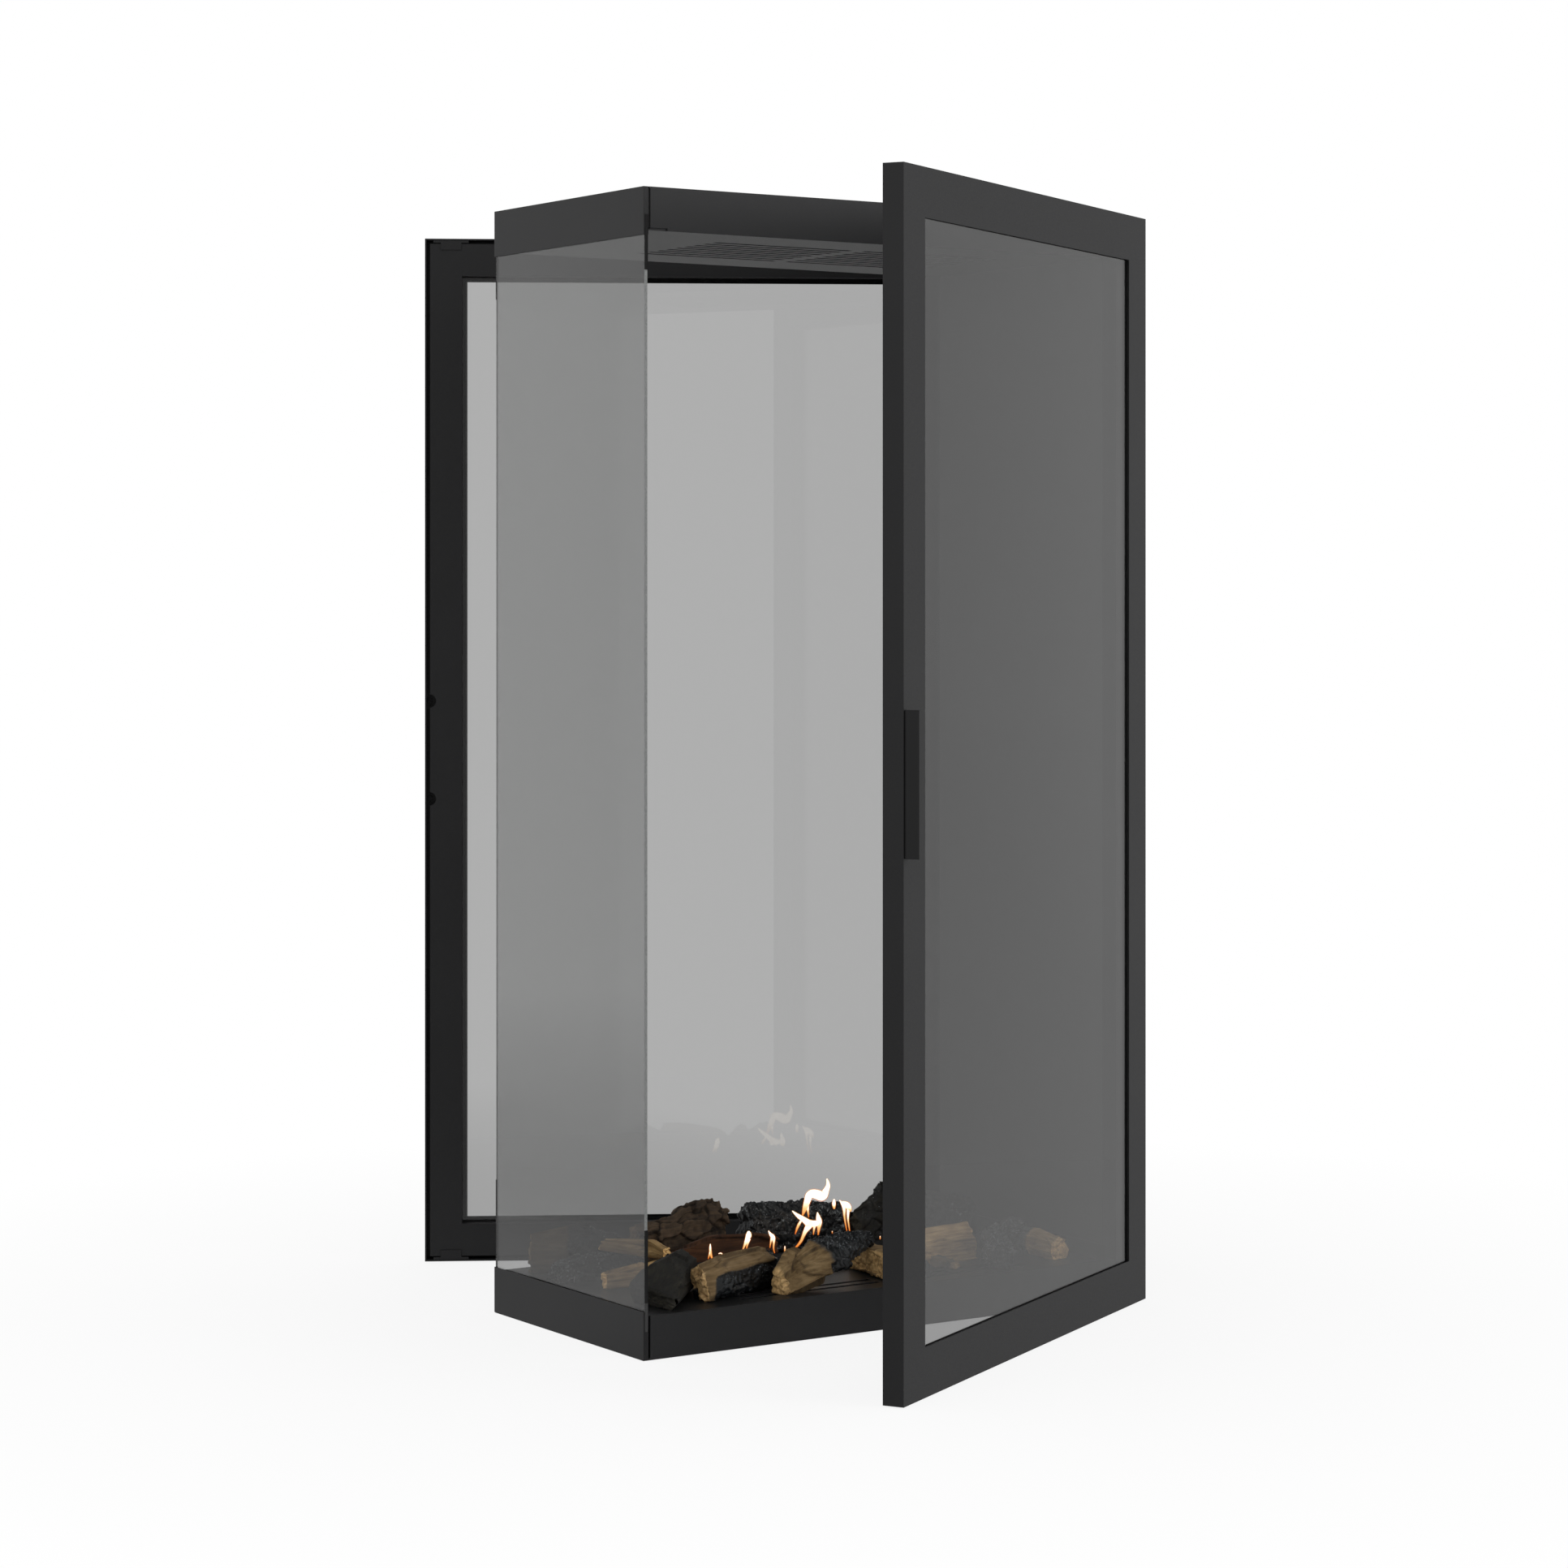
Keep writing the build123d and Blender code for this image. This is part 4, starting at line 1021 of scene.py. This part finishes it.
# %% Lines of the flames
FLAMES = {
    # points from foot to tip: along the burner, height and radius, in millimetres
    "left": ((-152, 66, 0.4), (-155, 72, 1.1), (-157, 80, 1.5), (-157, 86, 1.1), (-157, 89, 0.4)),
    "left_tail": ((-160, 71, 0.4), (-159, 74, 0.7), (-157, 80, 1.1)),
    "left_wisp": ((-138, 71, 0.4), (-139, 74, 0.7), (-142, 77, 0.7), (-145, 76, 0.4)),
    "middle_left": ((-111, 76, 0.4), (-107, 84, 1.5), (-104, 90, 2.5), (-101, 95, 4.2), (-102, 99, 1.5)),
    "middle_left_tail": ((-105, 77, 0.4), (-104, 84, 1.1), (-101, 90, 2.0)),
    "middle": (
        (-64, 69, 0.4), (-66, 74, 0.7), (-65, 82, 1.1), (-66, 89, 3.0),
        (-70, 92, 2.0), (-73, 97, 0.4),
    ),
    "middle_tail": ((-71, 76, 0.4), (-70, 82, 0.7), (-68, 89, 1.5)),
    "spark": ((-49, 68, 0.4), (-49, 72, 1.2), (-49, 76, 0.4)),
    "plume_lower": (
        (-34, 72, 1.0), (-26, 78, 1.5), (-22, 86, 1.8), (-18, 93, 2.8),
        (-12, 99, 4.9), (-21, 106, 3.4), (-31, 112, 2.4), (-38, 118, 0.5),
    ),
    "plume_tail": ((-34, 89, 0.4), (-31, 97, 1.5), (-26, 104, 1.5), (-23, 108, 0.7)),
    "plume_bridge": ((-16, 102, 4.2), (-8, 98, 5.0), (-1, 100, 3.4)),
    "plume_right": ((0, 85, 0.5), (1, 93, 1.8), (2, 101, 3.8), (0, 107, 3.0), (-1, 113, 0.5)),
    "plume_right_tail": ((-7, 86, 0.4), (-6, 93, 1.1), (-5, 99, 2.0)),
    "plume_upper": (
        (-23, 111, 0.7), (-20, 119, 3.0), (-16, 128, 4.2), (-13, 137, 4.8), (-3, 136, 6.2),
        (7, 131, 6.2), (12, 139, 3.6), (16, 146, 2.5), (13, 153, 0.7),
    ),
    "plume_upper_tail": ((-14, 108, 0.4), (-15, 115, 1.1), (-16, 123, 2.0)),
    "blob": ((24, 127, 0.8), (23, 122, 3.6), (24, 115, 0.8)),
    "right": ((44, 81, 0.4), (41, 94, 0.7), (39, 105, 1.1), (39, 114, 2.0), (36, 121, 2.0), (32, 125, 0.4)),
    "right_head": ((36, 122, 1.5), (41, 120, 3.6), (46, 115, 4.2), (48, 110, 1.5)),
    "right_second": ((48, 79, 0.4), (46, 92, 0.7), (44, 102, 1.1), (45, 113, 2.0)),
    "right_spark": ((21, 88, 0.4), (21, 87, 0.4), (21, 85, 0.4)),
    "far_spark": ((93, 71, 0.4), (93, 73, 0.7), (93, 75, 0.4)),
}
print("tongues", len(FLAMES))

# %% [markdown]
# Two tongues sit one in the other. The inner one is the white heart. The outer one is thin
# orange light that lets the background through, so the flame has a coloured rim from every
# side. Both take their colour from an attribute that runs from the foot to the tip.

# %% Glowing gas
def flame_material(name, stops, strength, cover):
    """Glowing gas: emission coloured from foot to head, mixed with clear air by its cover."""
    material, add = new_material(name)
    height = add("ShaderNodeAttribute", attribute_name="flame_height").outputs["Fac"]
    colour = add("ShaderNodeValToRGB", {"Fac": height}, stops).outputs["Color"]
    glow = add("ShaderNodeEmission", {"Color": colour, "Strength": strength})
    air = add("ShaderNodeBsdfTransparent")
    body = add("ShaderNodeMapRange", {"Value": height, 1: 0.0, 2: 0.35, 3: 0.45 * cover, 4: cover})
    shader = add("ShaderNodeMixShader", {0: body.outputs[0], 1: air.outputs[0], 2: glow.outputs[0]})
    add("ShaderNodeOutputMaterial", {"Surface": shader.outputs[0]})
    return material


HEART_COLOURS = [(0.0, "#b54314"), (0.22, "#c57a33"), (0.42, "#c5ad73"), (0.6, "#fff4dc")]
MANTLE_COLOURS = [(0.0, "#c82806"), (0.5, "#ff7a1f"), (1.0, "#ffb45a")]
heart_glow = flame_material("flame_heart", HEART_COLOURS, 1.8, 0.97)
mantle_glow = flame_material("flame_mantle", MANTLE_COLOURS, 1.1, 0.16)
print("glows", heart_glow.name, mantle_glow.name)

# %% [markdown]
# A thick flame burns whiter than a thin one, so the attribute also grows with the thickest
# radius. It is measured from a point below the mesh, because a flame's dark foot can't be seen.

# %% Tongues of flame
FOOT_BELOW = 1.5  # the dark foot of a flame would lie this many radii below its mesh
THIN_FLAME = 0.55  # the attribute at the tip of the thinnest flame
WHITER = 0.1  # what each millimetre of radius adds to it


def tongue(name, points, swell, extra):
    """Closed round tube along the points, with its height from foot to tip as an attribute."""
    curve = bpy.data.curves.new(name, "CURVE")
    curve.dimensions = "3D"
    curve.bevel_depth = MM
    curve.bevel_resolution = 5
    curve.use_fill_caps = True
    curve.resolution_u = 8
    spline = curve.splines.new("NURBS")
    spline.points.add(len(points) - 1)
    for control, (x, z, radius) in zip(spline.points, points):
        control.co = (x * MM, 0, z * MM, 1)
        control.radius = radius * swell + extra
    spline.order_u = 3
    spline.use_endpoint_u = True
    drawn = new_object(name + "_line", curve)
    depsgraph = bpy.context.evaluated_depsgraph_get()
    mesh = bpy.data.meshes.new_from_object(drawn.evaluated_get(depsgraph))
    bpy.data.objects.remove(drawn)
    mesh.name = name
    piece = new_object(name, mesh)
    heights = np.array([v.co.z for v in mesh.vertices])
    thickest = max(radius for x, z, radius in points)
    foot = heights.min() - FOOT_BELOW * thickest * MM
    share = (heights - foot) / (heights.max() - foot)
    store_values(mesh, "flame_height", share * (THIN_FLAME + WHITER * thickest))
    for polygon in mesh.polygons:
        polygon.use_smooth = True
    return piece


# name, how many times as thick as the line says, how many millimetres more, and glow
LAYERS = (("heart", 0.92, 0.0, heart_glow), ("mantle", 1.05, 0.5, mantle_glow))
for flame, points in FLAMES.items():
    for layer, swell, extra, glow in LAYERS:
        made = tongue(f"flame_{flame}_{layer}", points, swell, extra)
        made.data.materials.append(glow)
        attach(made, "root")
print("flames", len(FLAMES) * len(LAYERS))

# %% [markdown]
# ## Studio
# The photograph shows the fireplace on plain white. World and floor are white for camera,
# mirror and glass rays, and softer for the light that falls on the object. Mirror rays that
# turn back to the camera's side meet a room darker than the backdrop. Both rules are small
# groups of nodes that the world and the floor share.

# %% Kinds of rays
scene = bpy.context.scene
scene.view_settings.view_transform = "Standard"
SKY_LIGHT = 0.72  # what falls on the object, where 1 is plain white
ROOM_LIGHT = 0.7  # what the glass mirrors of the room on the camera's side
BACKDROP = (-0.25, 0.97, 0.0)  # the way from the case to the backdrop
ROOM_FROM, BACKDROP_FROM = -0.2, 0.6  # how well a ray must agree with that way


def seen_directly(add):
    """1 for camera, glossy and transmission rays, else 0."""
    path = add("ShaderNodeLightPath").outputs
    seen = path["Is Camera Ray"]
    for kind in ("Is Glossy Ray", "Is Transmission Ray"):
        seen = add("ShaderNodeMath", {0: seen, 1: path[kind]}, operation="MAXIMUM").outputs[0]
    return seen


def mirrored_light(add, heading):
    """1 for the backdrop and for direct sight, less for mirror rays that head into the room."""
    ahead = add("ShaderNodeVectorMath", {0: heading}, operation="NORMALIZE").outputs[0]
    towards = add("ShaderNodeVectorMath", {0: ahead, 1: BACKDROP}, operation="DOT_PRODUCT").outputs["Value"]
    room = add(
        "ShaderNodeMapRange", {"Value": towards, 1: ROOM_FROM, 2: BACKDROP_FROM, 3: ROOM_LIGHT, 4: 1.0}
    )
    mirrored = add("ShaderNodeLightPath").outputs["Is Glossy Ray"]
    seen = add("ShaderNodeMix", {0: mirrored, 2: 1.0, 3: room.outputs[0]}, data_type="FLOAT")
    return seen.outputs[0]


print("sky light", SKY_LIGHT, "room light", ROOM_LIGHT)

# %% [markdown]
# The world's strength is the two rules multiplied. In a world tree, Generated coordinates are
# the way that a ray is heading.

# %% World
world = bpy.data.worlds.new("white_studio")
world.use_nodes = True
world.node_tree.nodes.clear()
add = partial(add_node, world.node_tree)
direct = add("ShaderNodeMapRange", {"Value": seen_directly(add), 3: SKY_LIGHT, 4: 1.0})
heading = add("ShaderNodeTexCoord").outputs["Generated"]
strength = add(
    "ShaderNodeMath", {0: direct.outputs[0], 1: mirrored_light(add, heading)}, operation="MULTIPLY"
)
sky = add("ShaderNodeBackground", {"Color": (1, 1, 1, 1), "Strength": strength.outputs[0]})
add("ShaderNodeOutputWorld", {"Surface": sky.outputs[0]})
scene.world = world
print("world", world.name)

# %% [markdown]
# The floor is a mix of plain white light and real matt paint. Near the case a little of the
# paint shows, which keeps the soft shadow. Under the case only the paint shows, so that the air
# slots of the firebox look down on a dark floor. In the glass the floor looks darker towards
# the left rear, as it does in the photograph.

# %% Floor
FLOOR_SIZE = 40
CASE_HALF = (0.3575, 0.175)
SHADOW_FROM, SHADOW_TO, WHITE_BESIDE = 0.5, 1.5, 0.87
DARK_CORNER, CORNER_FROM, CORNER_TO, CORNER_LIGHT = (-1.4, 1.3, 0), 0.5, 2.2, 0.62
floor_paint, add = new_material("white_studio_floor")
where = add("ShaderNodeTexCoord").outputs["Object"]
reach = add("ShaderNodeVectorMath", {0: where}, operation="LENGTH").outputs["Value"]
plain = add("ShaderNodeMapRange", {"Value": reach, 1: SHADOW_FROM, 2: SHADOW_TO, 3: WHITE_BESIDE, 4: 1.0})
away = add("ShaderNodeVectorMath", {0: where, 1: DARK_CORNER}, operation="DISTANCE")
dim = add(
    "ShaderNodeMapRange",
    {"Value": away.outputs["Value"], 1: CORNER_FROM, 2: CORNER_TO, 3: CORNER_LIGHT, 4: 1.0},
)
mirror = add("ShaderNodeLightPath").outputs["Is Glossy Ray"]
dimmed = add("ShaderNodeMix", {0: mirror, 2: 1.0, 3: dim.outputs[0]}, data_type="FLOAT")
print("shadow shows within", SHADOW_TO, "m")

# %% [markdown]
# A point lies beside the case when its distance from the middle is over half the case's length
# or over half its depth. The share of white light is then the product of three rules.

# %% Floor under the case, and the floor itself
plan = add("ShaderNodeSeparateXYZ", {0: where})
beside = []
for axis, half in enumerate(CASE_HALF):
    side = add("ShaderNodeMath", {0: plan.outputs[axis]}, operation="ABSOLUTE").outputs[0]
    far = add("ShaderNodeMath", {0: side, 1: half}, operation="GREATER_THAN")
    beside.append(far.outputs[0])
in_the_open = add("ShaderNodeMath", {0: beside[0], 1: beside[1]}, operation="MAXIMUM")
share = plain.outputs[0]
for rule in (seen_directly(add), in_the_open.outputs[0]):
    share = add("ShaderNodeMath", {0: share, 1: rule}, operation="MULTIPLY").outputs[0]
glow = add("ShaderNodeMath", {0: mirrored_light(add, where), 1: dimmed.outputs[0]}, operation="MULTIPLY")
white = add("ShaderNodeEmission", {"Color": (1, 1, 1, 1), "Strength": glow.outputs[0]})
matt = add("ShaderNodeBsdfDiffuse", {"Color": (0.8, 0.8, 0.8, 1)})
mixed = add("ShaderNodeMixShader", {0: share, 1: matt.outputs[0], 2: white.outputs[0]})
add("ShaderNodeOutputMaterial", {"Surface": mixed.outputs[0]})
bpy.ops.mesh.primitive_plane_add(size=FLOOR_SIZE, location=(0, 0, cad_low.z - 0.5 * MM))
floor = bpy.context.object
floor.name = "studio_floor"
floor.data.materials.append(floor_paint)
print("floor", FLOOR_SIZE, "m wide")

# %% [markdown]
# A weak lamp stands at the left and a stronger one at the right front. A plain area lamp would
# show in the panes as a hard white rectangle, so each lamp fades from a bright core to nothing
# at its rim, and rays that pass through glass don't meet it at all. A share of the light is
# lost in the fade, so the power is raised by as much.

# %% Lamps
DARK_RIM = 0.5  # share of a lamp's width from its middle where it has faded to nothing
BRIGHT_CORE = 0.1  # share within which it is at its full brightness
SAMPLES = 101  # along each side, to measure how much light the fade leaves
LAMPS = {
    # where it stands, the point it looks at, its width in metres and its power in watts
    "left_window": ((-3.2, -1.6, 2.2), (0, 0, 0.7), 3.0, 13),
    "front_fill": ((2.4, -3.8, 1.7), (0, 0, 0.6), 3.2, 74),
}


def soft_lamp(name, place, target, size, power):
    """Large area lamp that looks at a point and fades to its rim."""
    lamp = bpy.data.lights.new(name, "AREA")
    lamp.size = size
    steps = np.linspace(-0.5, 0.5, SAMPLES)
    left = smooth(DARK_RIM, BRIGHT_CORE, np.hypot(*np.meshgrid(steps, steps))).mean()
    lamp.energy = power / left
    lamp.use_nodes = True
    lamp.node_tree.nodes.clear()
    add = partial(add_node, lamp.node_tree)
    spot = add("ShaderNodeNewGeometry").outputs["Parametric"]
    off = add("ShaderNodeVectorMath", {0: spot, 1: (0.5, 0.5, 0.0)}, operation="DISTANCE")
    fade = add(
        "ShaderNodeMapRange",
        {"Value": off.outputs["Value"], 1: DARK_RIM, 2: BRIGHT_CORE},
        interpolation_type="SMOOTHSTEP",
    )
    glow = add("ShaderNodeEmission", {"Strength": fade.outputs[0]})
    add("ShaderNodeOutputLight", {"Surface": glow.outputs[0]})
    holder = new_object(name, lamp)
    holder.visible_transmission = False
    holder.location = place
    aim = Vector(target) - Vector(place)
    holder.rotation_euler = aim.to_track_quat("-Z", "Y").to_euler()
    return holder


for lamp_name, settings in LAMPS.items():
    print(soft_lamp(lamp_name, *settings).name, settings[-1], "W")

# %% [markdown]
# ## Camera
# The photograph was taken from the front left, from about two thirds of the case's height, with
# a long lens held level. The picture was then framed lower, which is a vertical shift of the
# lens, so upright edges stay upright.

# %% Camera
PICTURE = 1932  # pixels along each side
FOCAL_PIXELS = 4655
HORIZON_ROW = 728.5
SENSOR = 36  # millimetres
EYE = (-2.5945, -3.8614, 0.8777)
TURN = -33.38  # degrees from looking straight at the front
camera_data = bpy.data.cameras.new("photo_camera")
camera_data.sensor_width = SENSOR
camera_data.lens = SENSOR * FOCAL_PIXELS / PICTURE
camera_data.shift_y = -(PICTURE / 2 - HORIZON_ROW) / PICTURE
camera_data.clip_end = 100
camera = new_object("photo_camera", camera_data)
camera.location = EYE
camera.rotation_euler = (math.radians(90), 0, math.radians(TURN))
scene.camera = camera
print("lens", round(camera_data.lens, 2), "shift", round(camera_data.shift_y, 4))
